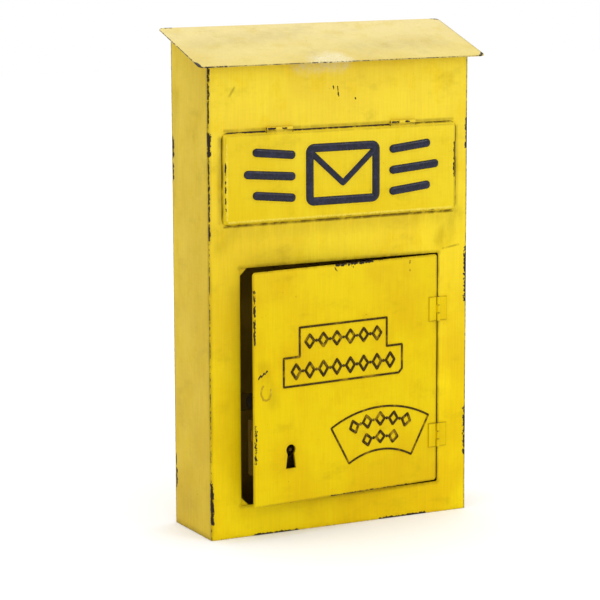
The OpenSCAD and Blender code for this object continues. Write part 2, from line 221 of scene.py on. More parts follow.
@dataclass
class Plate:
    """A sheet drawn flat as an outline with holes, with rounded edges, a net of faces and a slight swell.

    The outline is anticlockwise in u and v. The outer face is at w = 0 and the inner one at w = thick.
    """

    outline: Flat
    holes: list[Flat] = field(default_factory=list)
    thick: float = 1.0
    edge: float = 0.3
    cell: float = 7.0
    wave: float = 0.12
    seed: float = 0.0
    swell_long: float = 52.0
    inner_finish: int = 1

    def build(self) -> Solid:
        """Builds the plate.

        Returns:
            The mesh, in the drawing's own axes.
        """
        plate = bmesh.new()
        outer, inner = [], []
        for loop in [self.outline, *[list(reversed(hole)) for hole in self.holes]]:
            rows = [
                [plate.verts.new((p.x, p.y, height)) for p in drawn_in(loop, inset)]
                for inset, height in self.levels()
            ]
            stitch(plate, rows)
            outer += loop_edges(rows[0])
            inner += loop_edges(rows[-1])
        fill(plate, (outer, inner))
        low = [min(p[axis] for p in self.outline) for axis in (0, 1)]
        high = [max(p[axis] for p in self.outline) for axis in (0, 1)]
        net(plate, low, high, {axis: max(1, round((high[axis] - low[axis]) / self.cell)) for axis in (0, 1)})
        for face in plate.faces:
            if face.calc_center_median().z > self.thick - self.edge / 2:
                face.material_index = self.inner_finish
        for vert in plate.verts:
            swell = noise.noise(Vector((vert.co.x / self.swell_long, vert.co.y / self.swell_long, self.seed)))
            vert.co.z += self.wave * max(0.0, 0.5 + 0.7 * swell)
        return plate

    def levels(self) -> list[tuple[float, float]]:
        """Gives the inset and height of each loop round an edge, from the outer face to the inner one.

        Returns:
            The pairs, in order.
        """
        turns = [math.radians(angle) for angle in (0, 30, 60, 90)]
        near = [(self.edge * (1 - math.sin(a)), self.edge * (1 - math.cos(a))) for a in turns]
        far = [(inset, self.thick - height) for inset, height in reversed(near)]
        return near + far


def fill(mesh: Solid, loops: Iterable[list[bmesh.types.BMEdge]]) -> None:
    """Fills each group of closed edges with faces."""
    for edges in loops:
        bmesh.ops.triangle_fill(mesh, use_beauty=True, use_dissolve=False, edges=edges)


def net(mesh: Solid, low: list[float] | Vector, high: list[float] | Vector, counts: dict[int, int]) -> None:
    """Cuts a mesh's faces along a net of planes, so that it can bend.

    Args:
        mesh: The mesh to cut.
        low: Where the net starts along each axis.
        high: Where it ends.
        counts: How many spans it has along each axis that is cut.
    """
    for axis, count in counts.items():
        normal = [float(other == axis) for other in range(3)]
        for step in range(1, count):
            place = [(low[axis] + (high[axis] - low[axis]) * step / count) * share for share in normal]
            parts = mesh.verts[:] + mesh.edges[:] + mesh.faces[:]
            bmesh.ops.bisect_plane(mesh, geom=parts, dist=1e-4, plane_co=place, plane_no=normal)


def stitch(mesh: Solid, rows: list[list[bmesh.types.BMVert]]) -> None:
    """Joins closed rows of the same number of points with faces.

    Args:
        mesh: The mesh that holds them.
        rows: The rows, in order.
    """
    for low, high in zip(rows, rows[1:]):
        for index in range(len(low)):
            after = (index + 1) % len(low)
            mesh.faces.new((low[index], low[after], high[after], high[index]))


def loop_edges(row: list[bmesh.types.BMVert]) -> list[bmesh.types.BMEdge]:
    """Gives the edges of a closed row of points.

    Args:
        row: The points, in order.

    Returns:
        The edges between them.
    """
    found = []
    for index, vert in enumerate(row):
        after = row[(index + 1) % len(row)]
        found += [edge for edge in vert.link_edges if edge.other_vert(vert) is after]
    return found


def plain(name: str, mesh: Solid) -> bpy.types.Mesh:
    """Turns a mesh under work into mesh data, and frees it.

    Args:
        name: The data's name.
        mesh: The mesh under work.

    Returns:
        The mesh data.
    """
    data = bpy.data.meshes.new(name)
    mesh.to_mesh(data)
    mesh.free()
    return data


def placed(name: str, data: bpy.types.ID) -> bpy.types.Object:
    """Makes an object at the origin and puts it in the scene.

    Args:
        name: The object's name.
        data: What it shows.

    Returns:
        The object.
    """
    made = bpy.data.objects.new(name, data)
    bpy.context.scene.collection.objects.link(made)
    return made


def merged(parts: Iterable[tuple[Solid, Matrix]]) -> Solid:
    """Puts several meshes in place in one mesh.

    Args:
        parts: The meshes, each with the matrix that places it.

    Returns:
        One mesh that holds them all.
    """
    whole = bmesh.new()
    for part, place in parts:
        bmesh.ops.transform(part, matrix=place, verts=part.verts)
        carrier = plain("part", part)
        whole.from_mesh(carrier)
        bpy.data.meshes.remove(carrier)
    return whole


# ---- node work ----


class Bench:
    """A work bench for one node tree, which makes nodes from plain numbers and sockets."""

    def __init__(self, tree: bpy.types.NodeTree) -> None:
        """Keeps the tree that the nodes go into."""
        self.tree = tree

    def feed(self, inlet: Socket, value: object) -> None:
        """Sets an input.

        Args:
            inlet: The input.
            value: A plain value, or the socket that is linked to it.
        """
        if isinstance(value, Socket):
            self.tree.links.new(value, inlet)
        else:
            inlet.default_value = value

    def add(self, kind: str, inputs: dict | None = None, **settings: object) -> bpy.types.Node:
        """Makes a node.

        Args:
            kind: The node type's name.
            inputs: Values or sockets for its inputs, by name or number.
            **settings: Its other settings.

        Returns:
            The node.
        """
        made = self.tree.nodes.new(kind)
        for name, value in settings.items():
            setattr(made, name, value)
        for name, value in (inputs or {}).items():
            self.feed(made.inputs[name], value)
        return made

    def math(self, act: str, a: object, b: object = 0.0, clamp: bool = False) -> Socket:
        """Works out one sum of numbers or sockets, which stays from 0 to 1 if it is clamped."""
        return self.add("ShaderNodeMath", {0: a, 1: b}, operation=act, use_clamp=clamp).outputs[0]

    def vector(self, act: str, a: object, b: object = (0.0, 0.0, 0.0), scale: object = 1.0) -> bpy.types.Node:
        """Makes the node for one vector sum, which uses either b or the scale."""
        return self.add("ShaderNodeVectorMath", {0: a, 1: b, 3: scale}, operation=act)

    def scaled(self, value: object, scale: object) -> Socket:
        """Gives a vector or a colour times a number."""
        return self.vector("SCALE", value, scale=scale).outputs[0]

    def span(self, value: Socket, low: float, high: float, to_low: float = 0, to_high: float = 1) -> Socket:
        """Maps a value softly from the range low to high to the range to_low to to_high."""
        ranges = {0: value, 1: low, 2: high, 3: to_low, 4: to_high}
        return self.add("ShaderNodeMapRange", ranges, interpolation_type="SMOOTHSTEP").outputs[0]

    def grain(self, place: Socket, stretch: Point, detail: float = 3.0, rough: float = 0.55) -> Socket:
        """Makes noise that is stretched along the axes.

        Args:
            place: The position in millimetres.
            stretch: Waves for each millimetre along X, Y and Z.
            detail: How many finer layers it has.
            rough: How strong the finer layers are.

        Returns:
            The noise's socket.
        """
        at = self.vector("MULTIPLY", place, stretch).outputs[0]
        inputs = {"Vector": at, "Scale": 1.0, "Detail": detail, "Roughness": rough}
        return self.add("ShaderNodeTexNoise", inputs).outputs[0]

    def along(self, place: Socket, axis: str) -> Socket:
        """Gives one axis of a position."""
        return self.add("ShaderNodeSeparateXYZ", {0: place}).outputs[axis]

    def blend(self, share: object, a: object, b: object) -> Socket:
        """Mixes two colours, with a share of the second."""
        return self.add("ShaderNodeMix", {0: share, 6: a, 7: b}, data_type="RGBA").outputs[2]

    def bump(self, height: Socket, strength: float, depth: float) -> Socket:
        """Turns a height from 0 to 1 into a surface relief of a depth in metres."""
        inputs = {"Height": height, "Strength": strength, "Distance": depth}
        return self.add("ShaderNodeBump", inputs).outputs[0]

    def most(self, runs: Iterable["Run"], place: Socket) -> object:
        """Gives the strongest of several runs.

        Args:
            runs: The runs.
            place: The position in millimetres.

        Returns:
            The result's socket, or 0 if there are none.
        """
        top: object = 0.0
        for run in runs:
            top = self.math("MAXIMUM", run.draw(self, place), top)
        return top


@dataclass(frozen=True)
class Run:
    """A line from a to b of wear, dirt, fading, painted shade or painted highlight.

    The mark is strongest on the line, by amount, and fades out at the distance reach.
    """

    a: Point
    b: Point
    reach: float
    amount: float

    def draw(self, bench: Bench, place: Socket) -> Socket:
        """Works out how strong the run is.

        Args:
            bench: The bench of the material's tree.
            place: The position in millimetres.

        Returns:
            The strength's socket.
        """
        along = Vector(self.b) - Vector(self.a)
        off = bench.vector("SUBTRACT", place, self.a).outputs[0]
        if along.length > 0.01:
            dot = bench.vector("DOT_PRODUCT", off, tuple(along)).outputs["Value"]
            share = bench.math("MULTIPLY", dot, 1 / along.length_squared, clamp=True)
            off = bench.vector("SUBTRACT", off, bench.scaled(tuple(along), share)).outputs[0]
        far = bench.vector("LENGTH", off).outputs["Value"]
        return bench.span(far, self.reach, 0.0, 0.0, self.amount)

    def turned(self, turn: Matrix) -> "Run":
        """Gives the same run moved by a matrix."""
        return Run(tuple(turn @ Vector(self.a)), tuple(turn @ Vector(self.b)), self.reach, self.amount)


Row = tuple[float, float, float, float]


def upright(x: float, y: float, *rows: Row) -> list[Run]:
    """Makes upright runs at x and y, each from its low end, high end, reach and amount."""
    return [Run((x, y, low), (x, y, high), reach, amount) for low, high, reach, amount in rows]


def level(y: float, z: float, *rows: Row) -> list[Run]:
    """Makes runs along X at y and z, each from its left end, right end, reach and amount."""
    return [Run((left, y, z), (right, y, z), reach, amount) for left, right, reach, amount in rows]


def outline_runs(points: list[Point], reach: float, amount: float) -> list[Run]:
    """Makes a run along each edge of a closed outline."""
    return [Run(a, b, reach, amount) for a, b in zip(points, points[1:] + points[:1])]


def face_corners(y: float, left: float, low: float, right: float, high: float) -> list[Point]:
    """Gives the corners of an upright rectangle that faces along Y."""
    return [(left, y, low), (right, y, low), (right, y, high), (left, y, high)]


# ---- finishes ----


@dataclass(frozen=True)
class Coat:
    """A finish, which makes one material."""

    name: str

    def make(self) -> bpy.types.Material:
        """Builds the material.

        Returns:
            The material.
        """
        material = bpy.data.materials.new(self.name)
        material.use_nodes = True
        bench = Bench(material.node_tree)
        shader = material.node_tree.nodes["Principled BSDF"]
        where = bench.add("ShaderNodeTexCoord").outputs["Object"]
        for inlet, value in self.mix(bench, bench.scaled(where, 1 / MM)).items():
            bench.feed(shader.inputs[inlet], value)
        return material

    def mix(self, bench: Bench, place: Socket) -> dict[str, object]:
        """Works out the shader's inputs by name, from the position in millimetres."""
        raise NotImplementedError


@dataclass(frozen=True)
class AgedPaint(Coat):
    """Brushed paint on sheet steel, with an ochre glaze and chips down to the dark metal. It gets paler with
    height as a painted sheen of light from above; its glaze runs lay real dirt and painted shade; its bloom
    runs lay crazed pale paint and painted highlights.
    """

    colour: Colour = dye(221, 192, 3)
    deep: Colour = dye(212, 176, 1)
    pale: Colour = dye(228, 204, 74)
    glaze: Colour = dye(96, 74, 4)
    bare: Colour = dye(44, 36, 32)
    bloom_and_highlight_colour: Colour = dye(238, 234, 214)
    bright_from: float = 60.0
    bright_to: float = 350.0
    sheen_share: float = 0.5
    streak: float = 0.5
    chips: tuple[Run, ...] = ()
    grime_and_shade: tuple[Run, ...] = ()
    bloom_and_highlight: tuple[Run, ...] = ()
    bloom_and_highlight_share: float = 0.75
    roughness: float = 0.42
    specular: float = 0.07

    def mix(self, bench: Bench, place: Socket) -> dict[str, object]:
        """Mixes the paint.

        Args:
            bench: The bench of the material's tree.
            place: The position in millimetres.

        Returns:
            The shader's inputs by name.
        """
        brushed = bench.grain(place, (0.85, 0.85, 0.035), 5.0, 0.62)
        crossed = bench.grain(place, (0.09, 0.09, 0.6), 4.0, 0.65)
        cloud = bench.grain(place, (0.017, 0.017, 0.014), 4.0)
        patch = bench.grain(place, (0.055, 0.055, 0.04), 5.0, 0.66)
        stain = bench.grain(place, (0.028, 0.028, 0.045), 5.0, 0.7)
        smear = bench.grain(place, (0.16, 0.16, 0.05), 4.0, 0.65)
        # Paler towards the top, from bright_from to bright_to: a painted sheen of light from above.
        rise = bench.span(bench.along(place, "Z"), self.bright_from, self.bright_to, 0.0, self.sheen_share)
        paint = bench.blend(bench.span(cloud, 0.38, 0.66), self.colour, self.deep)
        paint = bench.blend(rise, paint, self.pale)
        paint = bench.blend(bench.span(patch, 0.5, 0.72, 0.0, 0.5), paint, self.deep)
        paint = bench.blend(bench.span(stain, 0.52, 0.76, 0.0, 0.19), paint, self.glaze)
        lines = bench.span(brushed, 0.3, 0.74, 1 - 0.09 * self.streak, 1 + 0.05 * self.streak)
        weft = bench.span(crossed, 0.3, 0.74, 1 - 0.03 * self.streak, 1 + 0.02 * self.streak)
        paint = bench.scaled(paint, bench.math("MULTIPLY", lines, weft))
        chips = self.chip_mask(bench, place)
        patchy = bench.span(smear, 0.3, 0.62, 0.35, 1.0)
        # The glaze runs darken the paint: real dirt, and painted shade along gaps and under overhangs.
        dirt_and_shade = bench.math("MULTIPLY", bench.most(self.grime_and_shade, place), patchy, clamp=True)
        paint = bench.blend(dirt_and_shade, paint, self.glaze)
        # The bloom runs whiten the paint: crazed paint on the front and lid, painted highlights on the flap's
        # rim.
        if self.bloom_and_highlight:
            paint = bench.blend(self.bloom_and_highlight_mask(bench, place), paint, self.bloom_and_highlight_colour)
        flecks = bench.grain(place, (0.62, 0.62, 0.5), 1.0, 0.4)
        speck = bench.math("ADD", flecks, bench.math("MULTIPLY", patch, 0.22))
        paint = bench.blend(bench.span(speck, 0.905, 0.94, 0.0, 0.6), paint, self.glaze)
        gloss = bench.span(patch, 0.3, 0.7, self.roughness - 0.05, self.roughness + 0.1)
        cross_relief = bench.math("MULTIPLY", crossed, 0.06)
        relief = bench.math("ADD", bench.math("MULTIPLY", brushed, 0.16), cross_relief)
        return {
            "Base Color": bench.blend(chips, paint, self.bare),
            "Roughness": bench.math("ADD", gloss, bench.math("MULTIPLY", chips, 0.2), clamp=True),
            "Specular IOR Level": self.specular,
            "Normal": bench.bump(bench.math("SUBTRACT", relief, chips), 0.35, 0.00018),
        }

    def chip_mask(self, bench: Bench, place: Socket) -> Socket:
        """Works out where the paint has come off."""
        ragged = bench.grain(place, (0.46, 0.46, 0.34), 4.0, 0.66)
        return bench.span(bench.math("ADD", ragged, bench.most(self.chips, place)), 0.83, 0.87)

    def bloom_and_highlight_mask(self, bench: Bench, place: Socket) -> Socket:
        """Works out where the paint has gone white and crazed, and where painted highlights lie.

        Args:
            bench: The bench of the material's tree.
            place: The position in millimetres.

        Returns:
            The mask's socket.
        """
        craze = bench.grain(place, (1.1, 1.1, 0.4), 3.0, 0.6)
        edge = bench.grain(place, (0.12, 0.12, 0.2), 3.0, 0.6)
        soft = bench.math("ADD", bench.most(self.bloom_and_highlight, place), bench.math("MULTIPLY", edge, 0.5))
        shown = bench.span(soft, 0.5, 0.95, 0.0, self.bloom_and_highlight_share)
        return bench.math("MULTIPLY", shown, bench.span(craze, 0.32, 0.62, 0.1, 1.0), clamp=True)


@dataclass(frozen=True)
class GlazedLine(Coat):
    """The dark glaze on the door's pressed lines, rubbed back to yellow here and there."""

    name: str = "glazed_line"
    dark: Colour = dye(46, 32, 2)
    rubbed_and_highlight: Colour = dye(176, 142, 8)

    def mix(self, bench: Bench, place: Socket) -> dict[str, object]:
        """Mixes the glaze.

        Args:
            bench: The bench of the material's tree.
            place: The position in millimetres.

        Returns:
            The shader's inputs by name.
        """
        worn = bench.grain(place, (0.1, 0.1, 0.1), 4.0, 0.66)
        fine = bench.grain(place, (1.4, 1.4, 1.4), 2.0)
        colour = bench.blend(bench.span(worn, 0.5, 0.72, 0.0, 0.8), self.dark, self.rubbed_and_highlight)
        colour = bench.blend(bench.span(fine, 0.45, 0.75, 0.0, 0.25), colour, self.rubbed_and_highlight)
        gloss = bench.span(fine, 0.3, 0.7, 0.4, 0.6)
        return {"Base Color": colour, "Roughness": gloss, "Specular IOR Level": 0.1}


@dataclass(frozen=True)
class BrushPaint(Coat):
    """Thick paint laid on with a brush, with faint ridges and painted shade that darkens it towards a
    stroke's foot.
    """

    colour: Colour
    light: Colour
    roughness: float = 0.4
    specular: float = 0.5
    foot_y: float | None = None
    crown_y: float = 0.0

    def mix(self, bench: Bench, place: Socket) -> dict[str, object]:
        """Mixes the paint.

        Args:
            bench: The bench of the material's tree.
            place: The position in millimetres.

        Returns:
            The shader's inputs by name.
        """
        hair = bench.grain(place, (0.5, 0.5, 0.4), 2.0, 0.5)
        pool = bench.grain(place, (0.09, 0.09, 0.09), 2.0)
        colour = bench.blend(bench.span(hair, 0.42, 0.72, 0.0, 0.7), self.colour, self.light)
        colour = bench.blend(bench.span(pool, 0.5, 0.7, 0.0, 0.35), colour, self.light)
        # Painted shade: darker from crown_y down to a stroke's foot at foot_y.
        if self.foot_y is not None:
            painted_foot_shade = bench.span(bench.along(place, "Y"), self.foot_y, self.crown_y, 0.35, 1.0)
            colour = bench.scaled(colour, painted_foot_shade)
        return {
            "Base Color": colour,
            "Roughness": bench.span(pool, 0.3, 0.7, self.roughness - 0.06, self.roughness + 0.12),
            "Specular IOR Level": self.specular,
            "Normal": bench.bump(hair, 0.3, 0.00025),
        }


class Wear(Enum):
    """How worn a bare metal is."""

    CLEAN = 0.0
    USED = 0.35
    RUSTY = 0.8


@dataclass(frozen=True)
class BareMetal(Coat):
    """Uncoated metal with fine draw lines and some rust."""

    colour: Colour
    roughness: float
    wear: Wear
    rust: Colour = dye(96, 62, 38)

    def mix(self, bench: Bench, place: Socket) -> dict[str, object]:
        """Mixes the metal.

        Args:
            bench: The bench of the material's tree.
            place: The position in millimetres.

        Returns:
            The shader's inputs by name.
        """
        lines = bench.grain(place, (2.2, 2.2, 0.2), 3.0)
        spots = bench.grain(place, (0.3, 0.3, 0.3), 4.0, 0.65)
        wear = self.wear.value
        rust = bench.span(spots, 0.72 - 0.3 * wear, 0.86 - 0.3 * wear, 0.0, wear)
        dull = tuple(0.6 * part for part in self.colour[:3]) + (1.0,)
        colour = bench.blend(bench.span(lines, 0.35, 0.7), self.colour, dull)
        gloss = bench.span(lines, 0.3, 0.7, self.roughness, self.roughness + 0.14)
        return {
            "Base Color": bench.blend(rust, colour, self.rust),
            "Metallic": bench.math("SUBTRACT", 1.0, rust, clamp=True),
            "Roughness": bench.math("ADD", gloss, rust, clamp=True),
            "Normal": bench.bump(lines, 0.25, 0.0001),
        }


@dataclass(frozen=True)
class FloorPaper(Coat):
    """Plain matt paper, hardly uneven."""

    def mix(self, bench: Bench, place: Socket) -> dict[str, object]:
        """Mixes the paper's even tone.

        Args:
            bench: The bench of the material's tree.
            place: The position in millimetres.

        Returns:
            The shader's inputs by name.
        """
        tone = bench.span(bench.grain(place, (0.004, 0.004, 0.004)), 0.3, 0.7)
        colour = bench.blend(tone, (0.90, 0.91, 0.93, 1.0), (0.93, 0.93, 0.94, 1.0))
        return {"Base Color": colour, "Roughness": 0.9, "Specular IOR Level": 0.1}


# ---- node trees that repeat a shape ----


class NodeTool:
    """A Geometry Nodes tree with named inputs, which is run on an object and turned into a plain mesh."""

    def __init__(self, name: str, floats: dict[str, float]) -> None:
        """Starts the tree.

        Args:
            name: The tree's name.
            floats: Its number inputs with their first values.
        """
        self.tree = bpy.data.node_groups.new(name, "GeometryNodeTree")
        sockets = self.tree.interface
        sockets.new_socket("Path", in_out="INPUT", socket_type="NodeSocketGeometry")
        for label, first in floats.items():
            sockets.new_socket(label, in_out="INPUT", socket_type="NodeSocketFloat").default_value = first
        sockets.new_socket("Seed", in_out="INPUT", socket_type="NodeSocketInt").default_value = 7
        sockets.new_socket("Finish", in_out="INPUT", socket_type="NodeSocketMaterial")
        sockets.new_socket("Made", in_out="OUTPUT", socket_type="NodeSocketGeometry")
        self.bench = Bench(self.tree)
        self.inlet = self.bench.add("NodeGroupInput")
        self.wire()

    def wire(self) -> None:
        """Adds the tree's own nodes."""
        raise NotImplementedError

    def close(self, made: Socket) -> None:
        """Ends the tree with real geometry that has its finish.

        Args:
            made: The geometry's socket.
        """
        real = self.bench.add("GeometryNodeRealizeInstances", {0: made}).outputs[0]
        inputs = {"Geometry": real, "Material": self.inlet.outputs["Finish"]}
        coated = self.bench.add("GeometryNodeSetMaterial", inputs)
        self.bench.add("NodeGroupOutput", {0: coated.outputs[0]})

    def run(self, source: bpy.types.ID, finish: bpy.types.Material, **values: float) -> Solid:
        """Runs the tree on a curve or a mesh.

        Args:
            source: The curve or mesh data.
            finish: The material to give.
            **values: The inputs by name.

        Returns:
            The mesh that comes out, in the source's own axes.
        """
        carrier = placed("carrier", source)
        modifier = carrier.modifiers.new("nodes", "NODES")
        modifier.node_group = self.tree
        wanted = dict(values, Finish=finish)
        for item in self.tree.interface.items_tree:
            if item.in_out == "INPUT" and item.name in wanted:
                modifier[item.identifier] = wanted[item.name]
        graph = bpy.context.evaluated_depsgraph_get()
        result = bpy.data.meshes.new_from_object(carrier.evaluated_get(graph))
        made = bmesh.new()
        made.from_mesh(result)
        for face in made.faces:
            face.material_index = 0
        bpy.data.objects.remove(carrier)
        bpy.data.meshes.remove(result)
        return made


class BeadTool(NodeTool):
    """Lays a rounded bead along each path of a curve drawn in X and Y. Open paths get round ends."""

    def __init__(self) -> None:
        """Starts the tree with its sizes."""
        super().__init__("bead", {"Width": 1.3, "Rise": 0.6, "Step": 0.5, "Fullness": 0.7, "Sink": 0.1})

    def wire(self) -> None:
        """Adds the nodes that sweep a rounded section along the paths."""
        bench, inlet = self.bench, self.inlet.outputs
        spacing = {"Curve": inlet["Path"], "Length": inlet["Step"]}
        path = bench.add("GeometryNodeResampleCurve", spacing, mode="LENGTH")
        path = bench.add("GeometryNodeSetCurveNormal", {"Curve": path.outputs[0]}, mode="Z_UP")
        walked = bench.add("GeometryNodeSplineParameter").outputs["Length"]
        whole = bench.add("GeometryNodeSplineLength").outputs["Length"]
        loop = bench.add("GeometryNodeInputSplineCyclic").outputs[0]
        to_end = bench.math("MINIMUM", walked, bench.math("SUBTRACT", whole, walked))
        half = bench.math("MULTIPLY", inlet["Width"], 0.5)
        short = bench.math("SUBTRACT", 1.0, bench.math("DIVIDE", to_end, half), clamp=True)
        dome = bench.math("SQRT", bench.math("SUBTRACT", 1.0, bench.math("POWER", short, 2.0), clamp=True))
        size = bench.math("MAXIMUM", bench.math("MAXIMUM", dome, loop), 0.04)
        section = bench.add("GeometryNodeCurvePrimitiveCircle", {"Resolution": 18, "Radius": 1.0}).outputs[0]
        here = bench.add("GeometryNodeInputPosition").outputs[0]
        at = bench.add("ShaderNodeSeparateXYZ", {0: here}).outputs
        across = bench.math("MULTIPLY", at[0], half)
        crown = bench.math("POWER", bench.math("MAXIMUM", at[1], 0.0), inlet["Fullness"])
        up = bench.math("MULTIPLY", crown, inlet["Rise"])
        down = bench.math("MULTIPLY", bench.math("MINIMUM", at[1], 0.0), inlet["Sink"])
        lift = bench.math("MULTIPLY", bench.math("ADD", up, down), -1.0)
        shaped = bench.add("ShaderNodeCombineXYZ", {0: across, 1: lift}).outputs[0]
        section = bench.add("GeometryNodeSetPosition", {"Geometry": section, "Position": shaped}).outputs[0]
        sweep = {"Curve": path.outputs[0], "Profile Curve": section, "Scale": size, "Fill Caps": True}
        self.close(bench.add("GeometryNodeCurveToMesh", sweep).outputs[0])


class StudTool(NodeTool):
    """Sets a low dome, such as a spot weld or a rivet head, on each point of a mesh drawn in X and Y."""

    def __init__(self) -> None:
        """Starts the tree with its sizes."""
        super().__init__("stud", {"Radius": 1.6, "Rise": 0.5, "Uneven": 0.1})

    def wire(self) -> None:
        """Adds the nodes that put a dome on each point."""
        bench, inlet = self.bench, self.inlet.outputs
        dome = bench.add("GeometryNodeMeshUVSphere", {"Segments": 16, "Rings": 8, "Radius": 1.0}).outputs[0]
        low = bench.math("SUBTRACT", 1.0, inlet["Uneven"])
        high = bench.math("ADD", 1.0, inlet["Uneven"])
        chance = {"Min_001": low, "Max_001": high, "Seed": inlet["Seed"]}
        random = bench.add("FunctionNodeRandomValue", data_type="FLOAT")
        for name, value in chance.items():
            socket = next(s for s in random.inputs if s.identifier == name)
            self.tree.links.new(value, socket)
        vary = next(s for s in random.outputs if s.identifier == "Value_001")
        wide = bench.math("MULTIPLY", inlet["Radius"], vary)
        size = bench.add("ShaderNodeCombineXYZ", {0: wide, 1: wide, 2: inlet["Rise"]}).outputs[0]
        set_out = {"Points": inlet["Path"], "Instance": dome, "Scale": size}
        self.close(bench.add("GeometryNodeInstanceOnPoints", set_out).outputs[0])


def paths(strokes: Lines) -> bpy.types.Curve:
    """Draws a curve of straight-sided strokes in X and Y.

    Args:
        strokes: The points of each stroke, and whether it is closed.

    Returns:
        The curve.
    """
    curve = bpy.data.curves.new("paths", "CURVE")
    curve.dimensions = "3D"
    for points, closed in strokes:
        spline = curve.splines.new("POLY")
        spline.points.add(len(points) - 1)
        for vert, point in zip(spline.points, points):
            vert.co = (point.x, point.y, 0.0, 1.0)
        spline.use_cyclic_u = closed
    return curve


def dots(points: Iterable[tuple[float, float]]) -> bpy.types.Mesh:
    """Makes a mesh of loose points in X and Y.

    Args:
        points: The points.

    Returns:
        The mesh.
    """
    mesh = bpy.data.meshes.new("dots")
    mesh.from_pydata([(x, y, 0.0) for x, y in points], [], [])
    return mesh


# ---- the letter box ----


@dataclass
class Shop:
    """What the sub-assemblies share: the sizes, the finishes already made and the two node tools."""

    sizes: BoxSizes
    beads: BeadTool
    studs: StudTool
    finishes: dict[str, bpy.types.Material] = field(default_factory=dict)

    def finish(self, coat: Coat) -> bpy.types.Material:
        """Makes a coat's material once and gives it.

        Args:
            coat: The coat.

        Returns:
            Its material.
        """
        if coat.name not in self.finishes:
            self.finishes[coat.name] = coat.make()
        return self.finishes[coat.name]

    def piece(
        self,
        name: str,
        mesh: Solid,
        body: str,
        coats: list[Coat],
        replaces: tuple[str, ...] = (),
        slot: str = "yellow_paint",
        sharp: float = 28.0,
        cutters: tuple[bpy.types.Object, ...] = (),
    ) -> None:
        """Turns a mesh in millimetres into a finished piece that rides on a body.

        Args:
            name: The piece's name.
            mesh: The mesh, which is freed.
            body: The CAD body that it rides on.
            coats: Its finishes, by face index.
            replaces: The CAD nodes that it stands for.
            slot: A material slot's name, which is not used.
            sharp: Edges above this angle in degrees stay sharp.
            cutters: Objects that are cut out of it.
        """
        bmesh.ops.recalc_face_normals(mesh, faces=mesh.faces)
        data = plain(name, mesh)
        data.transform(Matrix.Scale(MM, 4))
        made = placed(name, data)
        if cutters:
            data = self.carved(made, cutters)
            made.data = data
            data.name = name
        for coat in coats:
            data.materials.append(self.finish(coat))
        data.shade_smooth()
        data.set_sharp_from_angle(angle=math.radians(sharp))
        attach(made, body)
        if replaces:
            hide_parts(*replaces)
        log.info("%s: %d faces on %s", name, len(data.polygons), body)

    def carved(self, made: bpy.types.Object, cutters: tuple[bpy.types.Object, ...]) -> bpy.types.Mesh:
        """Cuts other objects out of a piece.

        Args:
            made: The piece.
            cutters: What is cut out, which is removed afterwards.

        Returns:
            The cut mesh.
        """
        for cutter in cutters:
            cut = made.modifiers.new("cut", "BOOLEAN")
            cut.operation, cut.solver, cut.object = "DIFFERENCE", "EXACT", cutter
        graph = bpy.context.evaluated_depsgraph_get()
        result = bpy.data.meshes.new_from_object(made.evaluated_get(graph))
        made.modifiers.clear()
        for cutter in cutters:
            bpy.data.objects.remove(cutter)
        return result

    def swept(self, coat: Coat, place: Matrix, lines: Lines, **sizes: float) -> tuple[Solid, Matrix]:
        """Sweeps a bead along flat lines, and gives it with the matrix that places it."""
        return self.beads.run(paths(lines), self.finish(coat), **sizes), place

    def block(self, low: Point, high: Point) -> bpy.types.Object:
        """Makes a block for cutting.

        Args:
            low: Its low corner.
            high: Its high corner.

        Returns:
            The block's object.
        """
        mesh = bmesh.new()
        bmesh.ops.create_cube(mesh, size=1.0)
        for vert in mesh.verts:
            for axis in range(3):
                vert.co[axis] = MM * (low[axis] if vert.co[axis] < 0 else high[axis])
        return placed("block", plain("block", mesh))

    def dress(self, coat: Coat, *nodes: str) -> None:
        """Gives the CAD nodes that stay in sight their finish.

        Args:
            coat: The finish.
            *nodes: The CAD nodes' names.
        """
        material = self.finish(coat)
        for node in nodes:
            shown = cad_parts[node]
            if not shown.data.materials:
                shown.data.materials.append(material)
            for index in range(len(shown.data.materials)):
                shown.data.materials[index] = material
            log.info("%s: dressed in %s", node, material.name)


INSIDE = AgedPaint(
    "inside_primer", colour=dye(158, 128, 30), deep=dye(138, 110, 24), pale=dye(164, 136, 38),
    glaze=dye(58, 46, 12), bare=dye(40, 34, 22), streak=0.8, sheen_share=0.3, roughness=0.7, specular=0.15,
)
DARK_STEEL = BareMetal("dark_steel", dye(92, 78, 52), 0.5, Wear.USED)
BRIGHT_STEEL = BareMetal("bright_steel", dye(178, 176, 172), 0.28, Wear.CLEAN)
PIN_STEEL = BareMetal("pin_steel", dye(120, 112, 100), 0.4, Wear.RUSTY)
SPRING_STEEL = BareMetal("spring_steel", dye(120, 122, 130), 0.3, Wear.CLEAN)
WELD_STEEL = BareMetal("weld_steel", dye(104, 96, 84), 0.5, Wear.RUSTY)
BOLT_BRASS = BareMetal("bolt_brass", dye(128, 102, 52), 0.42, Wear.CLEAN)
MAGNET_FACE = BrushPaint("magnet_ferrite", dye(42, 36, 22), dye(56, 48, 30), 0.6, 0.15)
# Dark brown enamel for the lock and catch, partly their own finish and partly painted shade, so they sink
# into the shade of the door gap.
LOCK_ENAMEL_AND_SHADE = BrushPaint("lock_enamel_and_shade", dye(64, 48, 8), dye(76, 58, 12), 0.6, 0.1)
CAP_ENAMEL = BrushPaint("cap_enamel", dye(138, 104, 14), dye(150, 116, 20), 0.6, 0.1)


